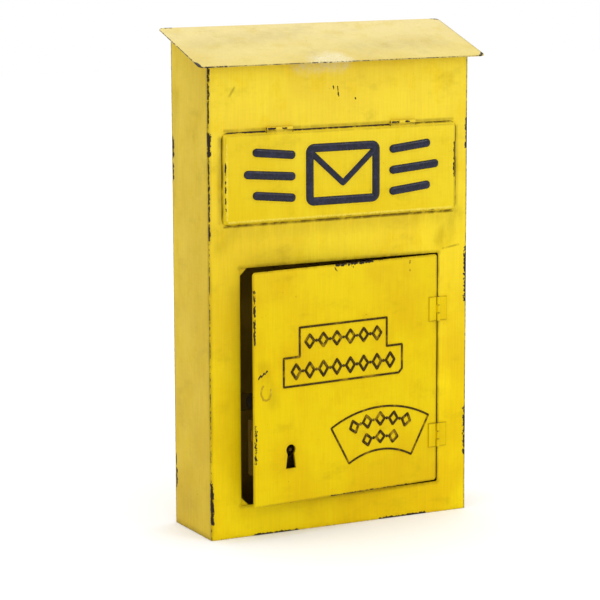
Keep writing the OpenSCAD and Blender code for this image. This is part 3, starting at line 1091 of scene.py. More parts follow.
@dataclass
class BodyShell:
    """The folded body: front, sides, back and bottom sheets, and the spot welds on its flanges."""

    shop: Shop
    flange: float = 8.0
    flange_foot: float = 10.0
    fold_gap: float = 0.4
    weld_pitch: float = 42.0
    screw_x: float = 70.0
    screw_z: float = 318.0
    opening_low: tuple[float, float] = (-84.5, 24.5)
    opening_high: tuple[float, float] = (84.5, 204.93)
    slot_low: tuple[float, float] = (-87.75, 253.73)
    slot_high: tuple[float, float] = (87.75, 291.73)

    def build(self) -> None:
        """Makes every sheet of the body."""
        self.front_sheet()
        for name, side in (("left", -1), ("right", 1)):
            self.side_sheet(name, side)
        self.back_sheet()
        self.bottom_sheet()
        self.spot_welds()
        self.shop.dress(self.stop_paint(), "upper_corner_stop", "lower_corner_stop")

    def stop_paint(self) -> AgedPaint:
        """Gives the paint of the corner stops, dark along their slanting edges.

        Returns:
            The paint.
        """
        (left, low), (_, high) = self.opening_low, self.opening_high
        y = self.shop.sizes.front + self.shop.sizes.sheet
        upper = Run((left - 6, y, high - 13), (left + 13, y, high + 6), 1.6, 0.7)
        lower = Run((left - 6, y, low + 13), (left + 13, y, low - 6), 1.6, 0.7)
        return AgedPaint("stop_paint", grime_and_shade=(upper, lower))

    def front_paint(self) -> AgedPaint:
        """Gives the front sheet's paint, with its chips where hands, door and flap wear it, and painted shade
        under the lid and along the gaps round the door and the flap.

        Returns:
            The paint.
        """
        sizes = self.shop.sizes
        half, top, y = sizes.half, sizes.body_top, sizes.front
        (left, low), (right, high) = self.opening_low, self.opening_high
        left_seam = upright(
            -half, y, (0, top, 1.1, 0.43), (291, 304, 5.4, 0.58), (314, 338, 2.4, 0.50),
            (266, 286, 2.4, 0.46), (228, 268, 3.0, 0.46), (330, top, 3.4, 0.46), (14, 42, 5.0, 0.52),
        )
        right_seam = upright(
            half, y, (0, top, 1.6, 0.50), (286, 306, 5.2, 0.50), (167, 206, 6.0, 0.47), (45, 80, 6.0, 0.45),
            (215, 285, 1.8, 0.34),
        )
        low_edge = level(y, 0, (-half, half, 0.8, 0.46), (-73, -38, 3.4, 0.52), (34, 73, 3.6, 0.54))
        scratches = [
            Run((-10, y, 336), (-9, y, 334.5), 1.7, 0.34),
            Run((-6.4, y, 337), (-6, y, 334.5), 1.5, 0.34),
            Run((-2.6, y, 336.5), (-1.8, y, 329), 1.5, 0.44),
            Run((12, y, 327.5), (13, y, 326), 2.2, 0.38),
        ]
        # Darker under the lid, a painted shadow of its overhang; darker towards the bottom; dark along the
        # side seams.
        edges = level(y, top, (-half, half, 6.0, 0.2)) + level(y, 0, (-half, half, 4.0, 0.14))
        edges += upright(-half, y, (1, top, 3.2, 0.50)) + upright(half, y, (1, top, 2.2, 0.62))
        # Painted shade round the flap: a soft painted shadow below it and dark painted lines along the gaps
        # at its bottom, top and sides.
        flap = level(y, 233, (-100, 100, 12.0, 0.17)) + level(y, 236.4, (-97, 97, 1.5, 0.85))
        flap += level(y, 307.6, (-96, 96, 2.0, 0.45))
        flap += upright(-100.5, y, (240, 302, 3.2, 0.42)) + upright(100.5, y, (240, 302, 1.6, 0.30))
        # Painted shade along the gaps round the door opening.
        door = level(y, high, (left, right, 3.4, 0.55)) + level(y, low, (left, right, 3.6, 0.50))
        door += upright(right, y, (low, high, 2.2, 0.62)) + upright(left, y, (low, high, 2.6, 0.24))
        smears = [
            Run((-92, y, 333), (-88, y, 339), 1.6, 0.5),
            Run((88, y, 215), (98, y, 235), 12.0, 0.30),
            Run((-100, y, 222), (-86, y, 238), 12.0, 0.22),
            Run((right + 4, y, 208), (right + 18, y, 210), 1.4, 0.5),
        ]
        return AgedPaint(
            "front_paint", colour=dye(233, 204, 8), deep=dye(221, 185, 3),
            chips=(*left_seam, *right_seam, *low_edge, *level(y, top, (-half, -84, 2.2, 0.46)), *scratches),
            grime_and_shade=(*edges, *flap, *door, *smears),
            bloom_and_highlight=(Run((-34, y, top - 2), (0, y, top - 3), 20.0, 0.72),), bloom_and_highlight_colour=dye(214, 198, 142),
        )

    def front_sheet(self) -> None:
        """Makes the front sheet with the door opening and the letter slot."""
        sizes = self.shop.sizes
        outline = rounded((-sizes.half, 0), (sizes.half, sizes.body_top), 0.4, 2)
        door = rounded(self.opening_low, self.opening_high, 1.5)
        holes = [door, rounded(self.slot_low, self.slot_high, 3.0)]
        sheet = Plate(outline, holes, edge=0.4, wave=0.2, seed=1.7).build()
        mesh = merged([(sheet, facing((0, sizes.front, 0), X, Z, Y))])
        self.shop.piece("front_sheet", mesh, "box", [self.front_paint(), INSIDE], ("front_panel",))

    def side_paint(self, side: int) -> AgedPaint:
        """Gives a side wall's paint, paler and duller than the front's: a painted sheen of light on the
        walls.

        Args:
            side: -1 at the left and 1 at the right.

        Returns:
            The paint.
        """
        sizes = self.shop.sizes
        x, near, far, back_top = side * sizes.half, sizes.front + sizes.sheet, sizes.wall_y, sizes.lid_high.z
        top = sizes.lid_under(near)
        chips = upright(x, near, (0, top, 0.9, 0.50), (290, 306, 3.2, 0.46), (12, 44, 2.6, 0.44))
        chips += upright(
            x, far, (0, back_top, 0.8, 0.34), (286, 295, 8.5, 0.66), (267, 275, 7.0, 0.62),
            (48, 53, 6.0, 0.60), (31, 41, 7.5, 0.62),
        )
        chips += [Run((x, near, 0), (x, far, 0), 1.0, 0.42)]
        grime_and_shade = [
            Run((x, near, 0), (x, near, top), 4.0, 0.45),
            Run((x, near, 0), (x, far, 0), 5.0, 0.45),
            Run((x, near, top), (x, far, back_top), 7.0, 0.40),
            Run((x, -6, 24), (x, 18, 20), 16.0, 0.10),
            Run((x, 24, 330), (x, 30, 250), 9.0, 0.18),
        ]
        # The pale, dull colours stand for a painted sheen of light on the side walls.
        return AgedPaint(
            "left_side_paint" if side < 0 else "right_side_paint",
            colour=dye(209, 180, 50), deep=dye(198, 166, 38), pale=dye(214, 187, 58),
            streak=0.8, chips=tuple(chips), grime_and_shade=tuple(grime_and_shade), roughness=0.5,
        )

    def flange_leaf(self, low: tuple[float, float], high: tuple[float, float], cell: float) -> Solid:
        """Makes a flange, drawn as a flat strip with faces of a size."""
        return Plate(rounded(low, high, 1.5, 3), edge=0.25, cell=cell, wave=0, inner_finish=0).build()

    def side_sheet(self, name: str, side: int) -> None:
        """Makes one side wall with its front, back and top flanges.

        Args:
            name: left or right.
            side: -1 at the left and 1 at the right.
        """
        sizes, reach, gap = self.shop.sizes, self.flange - self.fold_gap, side * self.fold_gap
        near, far, x = sizes.front + sizes.sheet, sizes.wall_y - sizes.sheet, side * sizes.half
        wall = [(near, 0), (far, 0), (far, sizes.lid_under(far)), (near, sizes.lid_under(near))]
        wall = Plate([Vector(c) for c in wall], edge=0.35, wave=0.14, seed=3.1 + side).build()
        parts = [(wall, facing((x, 0, 0), Y, Z, -side * X))]
        for y, inward in ((near, 1), (far, -1)):
            leaf = self.flange_leaf((0, self.flange_foot), (reach, sizes.lid_under(y) - 4), 14)
            parts.append((leaf, facing((x - gap, y, 0), -side * X, Z, inward * Y)))
        start = near + 3
        ledge = self.flange_leaf((0, 0), (reach, (far - near - 6) / math.cos(sizes.lid_slope)), 14)
        top_place = facing((x - gap, start, sizes.lid_under(start) - 0.02), -side * X, *sizes.slope)
        mesh = merged(parts + [(ledge, top_place)])
        for face in mesh.faces:
            if abs(face.calc_center_median().x) < sizes.half - 1.02:
                face.material_index = 1
        self.shop.piece(f"{name}_side_sheet", mesh, "box", [self.side_paint(side), INSIDE], (f"{name}_side",))

    def back_sheet(self) -> None:
        """Makes the back sheet with its two screw holes."""
        sizes = self.shop.sizes
        half, w, z = sizes.half, sizes.wall_y, self.screw_z
        outline = rounded((-half, 0), (half, sizes.lid_under(w - sizes.sheet)), 0.4, 2)
        screws = (-self.screw_x, self.screw_x)
        sheet = Plate(outline, [ring((x, z), 3.0) for x in screws], edge=0.35, seed=8.4).build()
        chips = [Run((x, w, z), (x, w, z), 6.0, 0.45) for x in screws]
        chips += outline_runs(face_corners(w, -half, 0, half, 379), 1.6, 0.45)
        chips += [Run((-40, w, 60), (-30, w, 66), 3.0, 0.34), Run((52, w, 210), (60, w, 190), 3.0, 0.34)]
        grime_and_shade = [Run((x, w, z - 2), (x, w, z - 22), 7.0, 0.55) for x in screws]
        grime_and_shade += level(w, 2, (-half, half, 10.0, 0.4))
        paint = AgedPaint(
            "back_paint", colour=dye(209, 178, 30), deep=dye(194, 158, 20), pale=dye(214, 188, 54),
            chips=tuple(chips), grime_and_shade=tuple(grime_and_shade), streak=0.9, roughness=0.5,
        )
        mesh = merged([(sheet, facing((0, w, 0), X, Z, -Y))])
        self.shop.piece("back_sheet", mesh, "box", [paint, INSIDE], ("back_panel",))

    def bottom_sheet(self) -> None:
        """Makes the bottom sheet with its two upturned flanges."""
        sizes, flange = self.shop.sizes, self.flange
        half, near, far = sizes.half - sizes.sheet, sizes.front + sizes.sheet, sizes.wall_y - sizes.sheet
        floor = Plate(rounded((-half, near), (half, far), 0.4, 2), wave=0.0).build()
        parts = [(floor, facing((0, 0, 0), X, Y, Z))]
        long = half - flange - 1
        for y, inward in ((near, 1), (far, -1)):
            strip = self.flange_leaf((-long, self.fold_gap), (long, flange), 20)
            parts.append((strip, facing((0, y, 0), X, Z, inward * Y)))
        mesh = merged(parts)
        for face in mesh.faces:
            if face.calc_center_median().z > 0.4:
                face.material_index = 1
        self.shop.piece("bottom_sheet", mesh, "box", [self.side_paint(-1), INSIDE], ("bottom_panel",))

    def spot_welds(self) -> None:
        """Sets the spot welds along the flanges, on their inner faces."""
        sizes, x = self.shop.sizes, self.shop.sizes.half - self.flange / 2
        weld, parts = self.shop.finish(WELD_STEEL), []
        for y, out in ((sizes.front + 2 * sizes.sheet, Y), (sizes.wall_y - 2 * sizes.sheet, -Y)):
            rows = [self.flange_foot + 12 + self.weld_pitch * step for step in range(8)]
            places = dots([(side * x, z) for side in (-1, 1) for z in rows])
            made = self.shop.studs.run(places, weld, Radius=1.9, Rise=0.35, Uneven=0.15)
            parts.append((made, facing((0, y, 0), X, Z, out)))
        self.shop.piece("flange_spot_welds", merged(parts), "box", [WELD_STEEL], slot="dark_steel")


@dataclass
class Lid:
    """The fixed sloping lid, with its worn corners and the crazed patch in the middle of its front edge."""

    shop: Shop
    corner_r: float = 4.0

    def paint(self) -> AgedPaint:
        """Gives the lid's paint, pale from fading and from a painted sheen of light from above.

        Returns:
            The paint.
        """
        low, high = box_mm("lid")
        front, back, half = low.y, high.y, high.x
        near, far = low.z + 0.6, high.z - 0.3
        front_left, front_right = (-half, front, near), (half, front, near)
        back_left, back_right = (-half, back, far), (half, back, far)
        chips = [
            Run(front_left, front_right, 0.9, 0.42),
            Run(back_left, front_left, 0.9, 0.46),
            Run(back_right, front_right, 1.1, 0.52),
            Run(back_left, back_right, 0.9, 0.36),
            Run(front_left, (-half + 22, front, near), 2.6, 0.42),
            Run(front_left, (-half, front + 8, near + 2), 4.6, 0.60),
            Run((half - 5, front, near), (half, front + 5, near + 2), 3.0, 0.50),
            Run(back_left, (-half + 10, back, far), 4.2, 0.56),
            Run((half - 7, back, far), (half, back - 3, far - 1), 3.0, 0.48),
            Run((22, back, far), (30, back, far), 2.0, 0.44),
            Run((-30, front, near), (-4, front, near), 1.9, 0.36),
        ]
        grime_and_shade = [
            Run((-half + 20, back - 34, far - 10), (-20, back - 18, far - 6), 22.0, 0.16),
            Run((20, front + 26, near + 9), (half - 30, front + 30, near + 10), 20.0, 0.13),
            Run(front_left, front_right, 2.0, 0.30),
            Run(back_right, front_right, 2.4, 0.45),
        ]
        # The pale colours and the paler top carry fading and a painted sheen of light from above.
        return AgedPaint(
            "lid_paint", colour=dye(214, 194, 100), deep=dye(206, 182, 82), pale=dye(219, 200, 128),
            bright_from=352, bright_to=380, sheen_share=0.9, streak=0.7, chips=tuple(chips), grime_and_shade=tuple(grime_and_shade),
            bloom_and_highlight=(Run((-15, front + 2, near + 1), (-6, front + 5, near + 2), 30.0, 0.78),),
            bloom_and_highlight_colour=dye(226, 218, 184), roughness=0.46, specular=0.4,
        )

    def build(self) -> None:
        """Makes the lid's sheet."""
        sizes = self.shop.sizes
        low, high = box_mm("lid")
        back = high.y - sizes.sheet * math.sin(sizes.lid_slope)
        outline = rounded((low.x, -(back - low.y) / math.cos(sizes.lid_slope)), (high.x, 0), self.corner_r, 6)
        sheet = Plate(outline, edge=0.42, cell=8, wave=0.1, seed=5.5, inner_finish=0).build()
        mesh = merged([(sheet, facing((0, back, high.z), X, *sizes.slope))])
        self.shop.piece("lid_sheet", mesh, "box", [self.paint()], ("lid",), "lid_paint")


@dataclass
class PostingFlap:
    """The posting flap: a tray with a rolled rim, raised dark strokes and two butt hinges above it."""

    shop: Shop
    corner_r: float = 6.0
    rim_y: float = -33.3
    crest_y: float = -35.3
    field_y: float = -35.5
    rim_wide: float = 2.6
    swell_long: float = 38.0
    stroke: float = 6.6
    envelope: tuple[float, float] = (28.0, 20.0)
    fold_drop: float = 2.2
    fold_low: float = -7.2
    bar_start: float = 43.0
    bar_reach: float = 36.0
    bar_pitch: float = 16.0
    bar_tilt: float = 3.0
    hinge_x: float = 52.0
    notch: float = 22.6
    skin: tuple[tuple[float, float], ...] = (
        (0.05, -32.8), (0.0, -33.0), (0.1, -33.2), (0.3, -33.32), (0.75, -33.38), (1.15, -33.55),
        (1.5, -33.95), (1.75, -34.45), (2.0, -34.9), (2.3, -35.22), (2.75, -35.42), (3.4, -35.5),
    )
    lining: tuple[tuple[float, float], ...] = (
        (1.0, -32.8), (1.5, -32.85), (2.0, -33.1), (2.5, -33.7), (3.0, -34.2), (3.5, -34.42), (4.2, -34.5),
    )

    def build(self) -> None:
        """Makes the flap's pieces."""
        self.tray()
        self.emblem()
        self.hinges()

    def paint(self) -> AgedPaint:
        """Gives the flap's paint, worn along its rim, with painted shade along its outer edge and painted
        highlights along the rim's inner edge at the bottom and left.

        Returns:
            The paint.
        """
        low, high = self.shop.sizes.flap_low, self.shop.sizes.flap_high
        rim, crest, wide = self.rim_y, self.crest_y, self.rim_wide
        outer = face_corners(rim, low.x, low.z, high.x, high.z)
        inner = face_corners(crest, low.x + wide, low.z + wide, high.x - wide, high.z - wide)
        chips = outline_runs(outer, 0.7, 0.36)
        chips += level(rim, high.z - 0.6, (-94, -50, 1.6, 0.46), (-40, 60, 1.7, 0.43))
        chips += level(crest, low.z + 1.5, (-20, 86, 1.7, 0.50))
        chips += level(crest, low.z + 1.4, (-92, -20, 1.3, 0.42))
        chips += upright(low.x + 2.2, crest, (262, 284, 1.8, 0.46), (246, 258, 1.6, 0.40))
        chips += upright(high.x - 2.4, crest, (264, 290, 2.8, 0.52))
        # Painted highlights along the rim's inner edge at the bottom and left.
        rubbed_and_highlight = level(crest, low.z + 3.0, (low.x + 5, high.x - 5, 2.6, 0.62))
        rubbed_and_highlight += upright(low.x + 3.2, crest, (low.z + 5, high.z - 9, 2.4, 0.55))
        # The dark outer outline is painted shade where the flap stands off the front sheet.
        return AgedPaint(
            "flap_paint", colour=dye(224, 197, 28), deep=dye(217, 186, 14), chips=tuple(chips),
            grime_and_shade=(*outline_runs(outer, 2.3, 1.25), *outline_runs(inner, 1.2, 0.30)),
            bloom_and_highlight=tuple(rubbed_and_highlight), bloom_and_highlight_colour=dye(242, 222, 96), bloom_and_highlight_share=0.7,
            bright_from=200, bright_to=420,
        )

    def tray(self) -> None:
        """Makes the tray: an outer skin and a lining that meet at the rim's back edge."""
        low, high = self.shop.sizes.flap_low, self.shop.sizes.flap_high
        mesh = bmesh.new()

        def row(inset: float, y: float) -> list[bmesh.types.BMVert]:
            """Makes one closed row of points.

            Args:
                inset: How far it lies inside the flap's outline.
                y: Where it lies along Y.

            Returns:
                The points.
            """
            r = max(1.0, self.corner_r - 0.8 * inset)
            loop = rounded((low.x + inset, low.z + inset), (high.x - inset, high.z - inset), r, 6)
            return [mesh.verts.new((p.x, y, p.y)) for p in loop]

        outer = [row(*place) for place in self.skin]
        inner = [row(*place) for place in self.lining]
        for rows in (outer, inner, [outer[0], inner[0]]):
            stitch(mesh, rows)
        fill(mesh, [loop_edges(outer[-1])])
        fill(mesh, [loop_edges(inner[-1])])
        net(mesh, low, high, {0: 26, 2: 10})
        for vert in mesh.verts:
            if vert.co.y < -34.3:
                swell = noise.noise(Vector((vert.co.x / self.swell_long, 2.2, vert.co.z / self.swell_long)))
                vert.co.y += 0.18 * (0.5 + 0.5 * swell)
        half = self.notch / 2
        cutters = tuple(
            self.shop.block((x - half, self.field_y + 1.0, high.z - 3.7), (x + half, -31.0, high.z + 2))
            for x in (-self.hinge_x, self.hinge_x)
        )
        self.shop.piece("flap_tray", mesh, "flap", [self.paint()], ("flap_plate",), cutters=cutters)

    def strokes(self) -> Lines:
        """Draws the envelope's frame and the two groups of three bars.

        Returns:
            The points of each stroke, and whether it is closed.
        """
        wide, tall = self.envelope
        half = self.stroke / 2
        drawn = [(rounded((-wide, -tall), (wide, tall), half, 5), True)]
        for side in (-1, 1):
            for line in (-1, 0, 1):
                far = self.bar_start + self.bar_reach * (1 - 0.2 * abs(line))
                a = Vector((side * self.bar_start, line * self.bar_pitch))
                b = Vector((side * far, line * self.bar_pitch + self.bar_tilt))
                away = (b - a).normalized() * half
                drawn.append(([a - away, b + away], False))
        return drawn

    def emblem(self) -> None:
        """Makes the raised strokes, an envelope between two groups of bars, and the slopes round them."""
        wide, tall = self.envelope
        strokes = self.strokes()
        top = tall - self.fold_drop
        fold = [([Vector((-wide, top)), Vector((0, self.fold_low)), Vector((wide, top))], False)]
        middle = (self.shop.sizes.flap_low.z + self.shop.sizes.flap_high.z) / 2
        place = facing((0, self.field_y, middle), X, Z, -Y)
        foot, crown = self.field_y - 0.1, self.field_y - 1.5
        # The emblem paint darkens each stroke from its crown to its foot: painted shade.
        enamel = BrushPaint("emblem_paint", dye(12, 12, 31), dye(36, 38, 64), 0.28, 0.3, foot, crown)

        shop, sizes = self.shop, {"Step": 0.45, "Fullness": 0.75, "Sink": 0.3}
        frame_and_bars = shop.swept(enamel, place, strokes, Width=self.stroke, Rise=1.8, **sizes)
        flap_fold = shop.swept(enamel, place, fold, Width=4.9, Rise=1.6, **sizes)
        mesh = merged([frame_and_bars, flap_fold])
        shop.piece("flap_emblem_strokes", mesh, "flap", [enamel], ("flap_emblem",), "emblem_paint", 60)
        paint, sizes = self.paint(), {"Rise": 0.7, "Step": 0.9, "Fullness": 1.2, "Sink": 0.3}
        wider = ((strokes, self.stroke + 2.2), (fold, 6.6))
        mesh = merged([shop.swept(paint, place, drawn, Width=width, **sizes) for drawn, width in wider])
        shop.piece("flap_emblem_slopes", mesh, "flap", [paint], sharp=60)

    def hinges(self) -> None:
        """Dresses the flap's hinges."""
        y = self.shop.sizes.front - 1
        top = box_mm("flap_hinge_left_pin")[1].z
        chips, grime_and_shade = [], []
        for x in (-self.hinge_x, self.hinge_x):
            chips += level(-35.4, top - 0.6, (x - 9.5, x - 4.5, 1.7, 0.54), (x + 2, x + 5, 1.7, 0.54))
            grime_and_shade += level(-34.6, top - 2.6, (x - 11, x + 11, 1.6, 0.65))
            for end in (-10.5, -3.5, 3.5, 10.5):
                grime_and_shade += upright(x + end, y, (top, top - 4, 1.0, 0.8))
        paint = AgedPaint("flap_hinge_paint", chips=tuple(chips), grime_and_shade=tuple(grime_and_shade))
        for side in ("left", "right"):
            self.shop.dress(paint, f"flap_hinge_{side}_body_leaf", f"flap_hinge_{side}_flap_leaf")
            self.shop.dress(PIN_STEEL, f"flap_hinge_{side}_pin")


@dataclass
class CollectionDoor:
    """The collection door, which stands ajar, with its keyhole, pressed frames and marks, and hinges."""

    shop: Shop
    left: float = -83.5
    low: float = 26.0
    right: float = 83.5
    high: float = 203.93
    corner_r: float = 2.5
    face_y: float = -32.8
    leaf: float = 8.0
    leaf_long: float = 18.5
    key_x: float = -50.5
    key_z: float = 66.8
    key_r: float = 4.1
    key_long: float = 14.3
    key_foot: float = 8.9
    key_waist: float = 6.0
    ridge: float = 1.6
    ridge_rise: float = 0.6
    mark: float = 2.2
    mark_pitch: float = 6.1
    mark_half: float = 3.9
    step_rows: tuple[tuple[float, int, float], ...] = ((148.0, 11, 5.0), (126.0, 15, 5.6))
    fan_rows: tuple[tuple[float, int, float], ...] = ((83.0, 9, 4.8), (69.0, 5, 4.4))
    fan_centre: tuple[float, float] = (30.7, -2.0)
    fan_radii: tuple[float, float] = (59.0, 92.4)
    fan_spread: float = 29.2
    step_x: float = -3.0
    step_z: tuple[float, float, float] = (115.13, 137.03, 159.13)
    step_half: tuple[float, float] = (53.7, 39.5)
    weld: tuple[float, float] = (-72.2, 113.0)
    weld_half: tuple[float, float] = (4.3, 6.0)

    def build(self) -> None:
        """Makes the door's pieces."""
        self.panel()
        self.pressings()
        self.weld_mark()
        self.hinges()

    def outside(self) -> Matrix:
        """Gives the matrix from a drawing in X and Z to the ajar door's outer face, rising outwards."""
        return self.shop.sizes.door_turn @ facing((0, self.face_y, 0), X, Z, -Y)

    def keyhole(self) -> Flat:
        """Draws the keyhole: a round head, a waist and a flared foot.

        Returns:
            The points, anticlockwise.
        """
        x, z, r, foot, waist = self.key_x, self.key_z, self.key_r, self.key_foot / 2, self.key_waist / 2
        start = math.degrees(math.asin(-1.4 / r)) % 360 - 360
        turns = [math.radians(start + (180 - 2 * start) * step / 14) for step in range(15)]
        head = [Vector((x + r * math.cos(turn), z + r * math.sin(turn))) for turn in turns]
        low, mid = z - self.key_long, z - 3.4
        tail = ((x - waist, mid), (x - foot, low), (x + foot, low), (x + waist, mid))
        return head + [Vector(corner) for corner in tail]

    def stepped(self) -> Flat:
        """Draws the stepped frame's centre line.

        Returns:
            The points.
        """
        x, (low, mid, top), (wide, slim) = self.step_x, self.step_z, self.step_half
        corners = [(wide - 3, low), (wide, low + 3), (wide, mid), (slim, mid), (slim, top)]
        corners += [(-slim, top), (-slim, mid), (-wide, mid), (-wide, low)]
        return [Vector((x + u, v)) for u, v in corners]

    def on_fan(self, radius: float, degrees: float) -> Vector:
        """Gives a point of the fan, at an angle from upright towards the right."""
        (x, z), turn = self.fan_centre, math.radians(degrees)
        return Vector((x + radius * math.sin(turn), z + radius * math.cos(turn)))

    def fan(self) -> Flat:
        """Draws the fan frame's centre line.

        Returns:
            The points.
        """
        (near, far), spread = self.fan_radii, self.fan_spread
        steps = [spread * (1 - 2 * step / 18) for step in range(19)]
        return [self.on_fan(far, a) for a in steps] + [self.on_fan(near, a) for a in reversed(steps)]

    def mark_places(self) -> list[tuple[Vector, Vector, float, bool]]:
        """Places the ornament inside the two frames: rows of lozenges with a dot between each two.

        Returns:
            Each mark's middle, its upward direction, half its height, and whether it is a lozenge.
        """
        found = []
        for z, count, half_tall in self.step_rows:
            for index in range(count):
                x = self.step_x + (index - (count - 1) / 2) * self.mark_pitch
                found.append((Vector((x, z)), Vector((0, 1)), half_tall, index % 2 == 0))
        for radius, count, half_tall in self.fan_rows:
            for index in range(count):
                at = self.on_fan(radius, (index - (count - 1) / 2) * math.degrees(self.mark_pitch / radius))
                found.append((at, (at - Vector(self.fan_centre)).normalized(), half_tall, index % 2 == 0))
        return found

    def lozenge(self, at: Vector, up: Vector, half_tall: float) -> Flat:
        """Draws one lozenge from its middle, its upward direction and half its height."""
        across = Vector((up.y, -up.x)) * self.mark_half
        return [at + up * half_tall, at - across, at - up * half_tall, at + across]

    def leaf_lines(self, start: Point, reach: float, tall: float, wide: float, amount: float) -> list[Run]:
        """Gives the glaze round a hinge leaf, which is faint along its far side.

        Args:
            start: The leaf's low corner at the hinge.
            reach: How far the leaf goes along X.
            tall: Its height.
            wide: Reach of the glaze.
            amount: Strength of the glaze.

        Returns:
            The runs.
        """
        x, y, foot = start
        row = (x, x + reach, wide, amount)
        far_side = upright(x + reach, y, (foot, foot + tall, wide, 0.3))
        return level(y, foot, row) + level(y, foot + tall, row) + far_side

    def paint(self) -> AgedPaint:
        """Gives the door's paint, worn along its free edge, dark along the frames and hinges, and with
        painted shade along its edges by the gap round it.

        Returns:
            The paint.
        """
        y, left, right, low, high = self.face_y, self.left, self.right, self.low, self.high
        edge = face_corners(y, left, low, right, high)
        chips = outline_runs(edge, 1.0, 0.27)
        chips += upright(left + 1.4, y, (150, 190, 3.2, 0.42)) + upright(left + 2.0, y, (60, 88, 3.6, 0.39))
        chips += upright(58, y, (201, 199, 1.3, 0.42), (195, 193, 1.3, 0.42))
        chips += level(y, low, (-14, 24, 2.2, 0.46), (24, 60, 1.4, 0.42))
        chips += level(y, high, (-10, 23, 4.4, 0.46))
        chips += [
            Run((-12, y, high), (-9, y, high - 5), 1.6, 0.40),
            Run((2, y, high), (6, y, high - 3.4), 2.0, 0.40),
            Run((-79, y, 124.0), (-77, y, 126.4), 1.7, 0.46),
            Run((-76, y, 125.4), (-74, y, 127.8), 1.7, 0.46),
            Run((-73, y, 127.0), (-71.4, y, 129.2), 1.5, 0.40),
        ]
        # Painted shade along the door's edges, by the gap round the door.
        grime_and_shade = outline_runs(edge, 2.2, 0.46)
        grime_and_shade += outline_runs([(p.x, y, p.y) for p in self.stepped()], 2.0, 0.36)
        for place in ("upper", "lower"):
            foot = box_mm(f"door_hinge_{place}_pin")[0].z + 0.5
            grime_and_shade += self.leaf_lines((right, y, foot), -7.6, self.leaf_long, 1.0, 0.6)
        grime_and_shade += [Run((-75, y, 132), (-66, y, 104), 9.0, 0.20)]
        grime_and_shade += upright(self.key_x, y, (self.key_z, self.key_z - 12, 8.0, 0.30))
        turn = self.shop.sizes.door_turn
        chips, grime_and_shade = (tuple(run.turned(turn) for run in runs) for runs in (chips, grime_and_shade))
        return AgedPaint("door_paint", chips=chips, grime_and_shade=grime_and_shade, bright_from=120, bright_to=420)

    def panel(self) -> None:
        """Makes the door's sheet."""
        outline = rounded((self.left, self.low), (self.right, self.high), self.corner_r, 5)
        sheet = Plate(outline, [self.keyhole()], edge=0.35, cell=7, wave=0.14, seed=6.6).build()
        mesh = merged([(sheet, self.shop.sizes.door_turn @ facing((0, self.face_y, 0), X, Z, Y))])
        self.shop.piece("door_sheet", mesh, "door", [self.paint(), INSIDE], ("door_panel",))

    def pressings(self) -> None:
        """Makes the pressed frames and the rows of marks."""
        glaze, shop = GlazedLine(), self.shop
        sizes = {"Rise": self.ridge_rise, "Fullness": 0.8, "Sink": 0.4}
        frames = [(self.stepped(), True), (self.fan(), True)]
        lines = shop.swept(glaze, self.outside(), frames, Width=self.ridge, Step=0.6, **sizes)
        shop.piece("door_frames", merged([lines]), "door", [glaze], sharp=60)
        places = self.mark_places()
        shapes = [(self.lozenge(at, up, tall), True) for at, up, tall, open_mark in places if open_mark]
        rows = shop.swept(glaze, self.outside(), shapes, Width=self.mark, Step=0.35, **sizes)
        spots = dots([(at.x, at.y) for at, _, _, open_mark in places if not open_mark])
        pips = shop.studs.run(spots, shop.finish(glaze), Radius=1.25, Rise=self.ridge_rise, Uneven=0.08)
        shop.piece("door_marks", merged([rows, (pips, self.outside())]), "door", [glaze], sharp=60)

    def weld_mark(self) -> None:
        """Makes the burr that the strike's spot weld leaves on the door's face."""
        glaze = GlazedLine("weld_glaze", dye(172, 142, 18), dye(228, 200, 60))
        (x, z), (wide, tall) = self.weld, self.weld_half
        loop = []
        for step in range(28):
            turn = 2 * math.pi * step / 28
            r = 1 + 0.22 * noise.noise(Vector((2.2 * math.cos(turn), 2.2 * math.sin(turn), 4.0)))
            loop.append(Vector((x + wide * r * math.cos(turn), z + tall * r * math.sin(turn))))
        sizes = {"Width": 1.3, "Rise": 0.4, "Step": 0.5, "Fullness": 0.9, "Sink": 0.4}
        burr = self.shop.swept(glaze, self.outside(), [(loop[9:] + loop[:3], False)], **sizes)
        self.shop.piece("door_weld_mark", merged([burr]), "door", [glaze], sharp=60)

    def hinges(self) -> None:
        """Dresses the door's hinges, whose leaves have dark outlines."""
        sizes = self.shop.sizes
        axis, y = sizes.hinge_axis, sizes.hinge_axis.y - 1
        chips, grime_and_shade = [], []
        for place in ("upper", "lower"):
            foot = box_mm(f"door_hinge_{place}_pin")[0].z + 0.5
            head, third = foot + self.leaf_long, self.leaf_long / 3
            sides = ((self.face_y, -self.leaf), (sizes.front, self.leaf))
            on_door, on_front = (
                self.leaf_lines((axis.x, face - 0.8, foot), reach, self.leaf_long, 0.8, 0.66)
                for face, reach in sides
            )
            grime_and_shade += [run.turned(sizes.door_turn) for run in on_door] + on_front
            for z in (foot + third, foot + 2 * third):
                grime_and_shade += level(y, z, (axis.x - 2, axis.x + 2, 0.9, 0.9))
            chips += [Run((axis.x - 1.4, y, foot + 6), (axis.x - 1, y, head - 4), 1.2, 0.34)]
        paint = AgedPaint(
            "door_hinge_paint", colour=dye(223, 194, 3), chips=tuple(chips), grime_and_shade=tuple(grime_and_shade),
            bright_from=120, bright_to=420,
        )
        for place in ("upper", "lower"):
            self.shop.dress(paint, f"door_hinge_{place}_body_leaf", f"door_hinge_{place}_door_leaf")
            self.shop.dress(PIN_STEEL, f"door_hinge_{place}_pin")


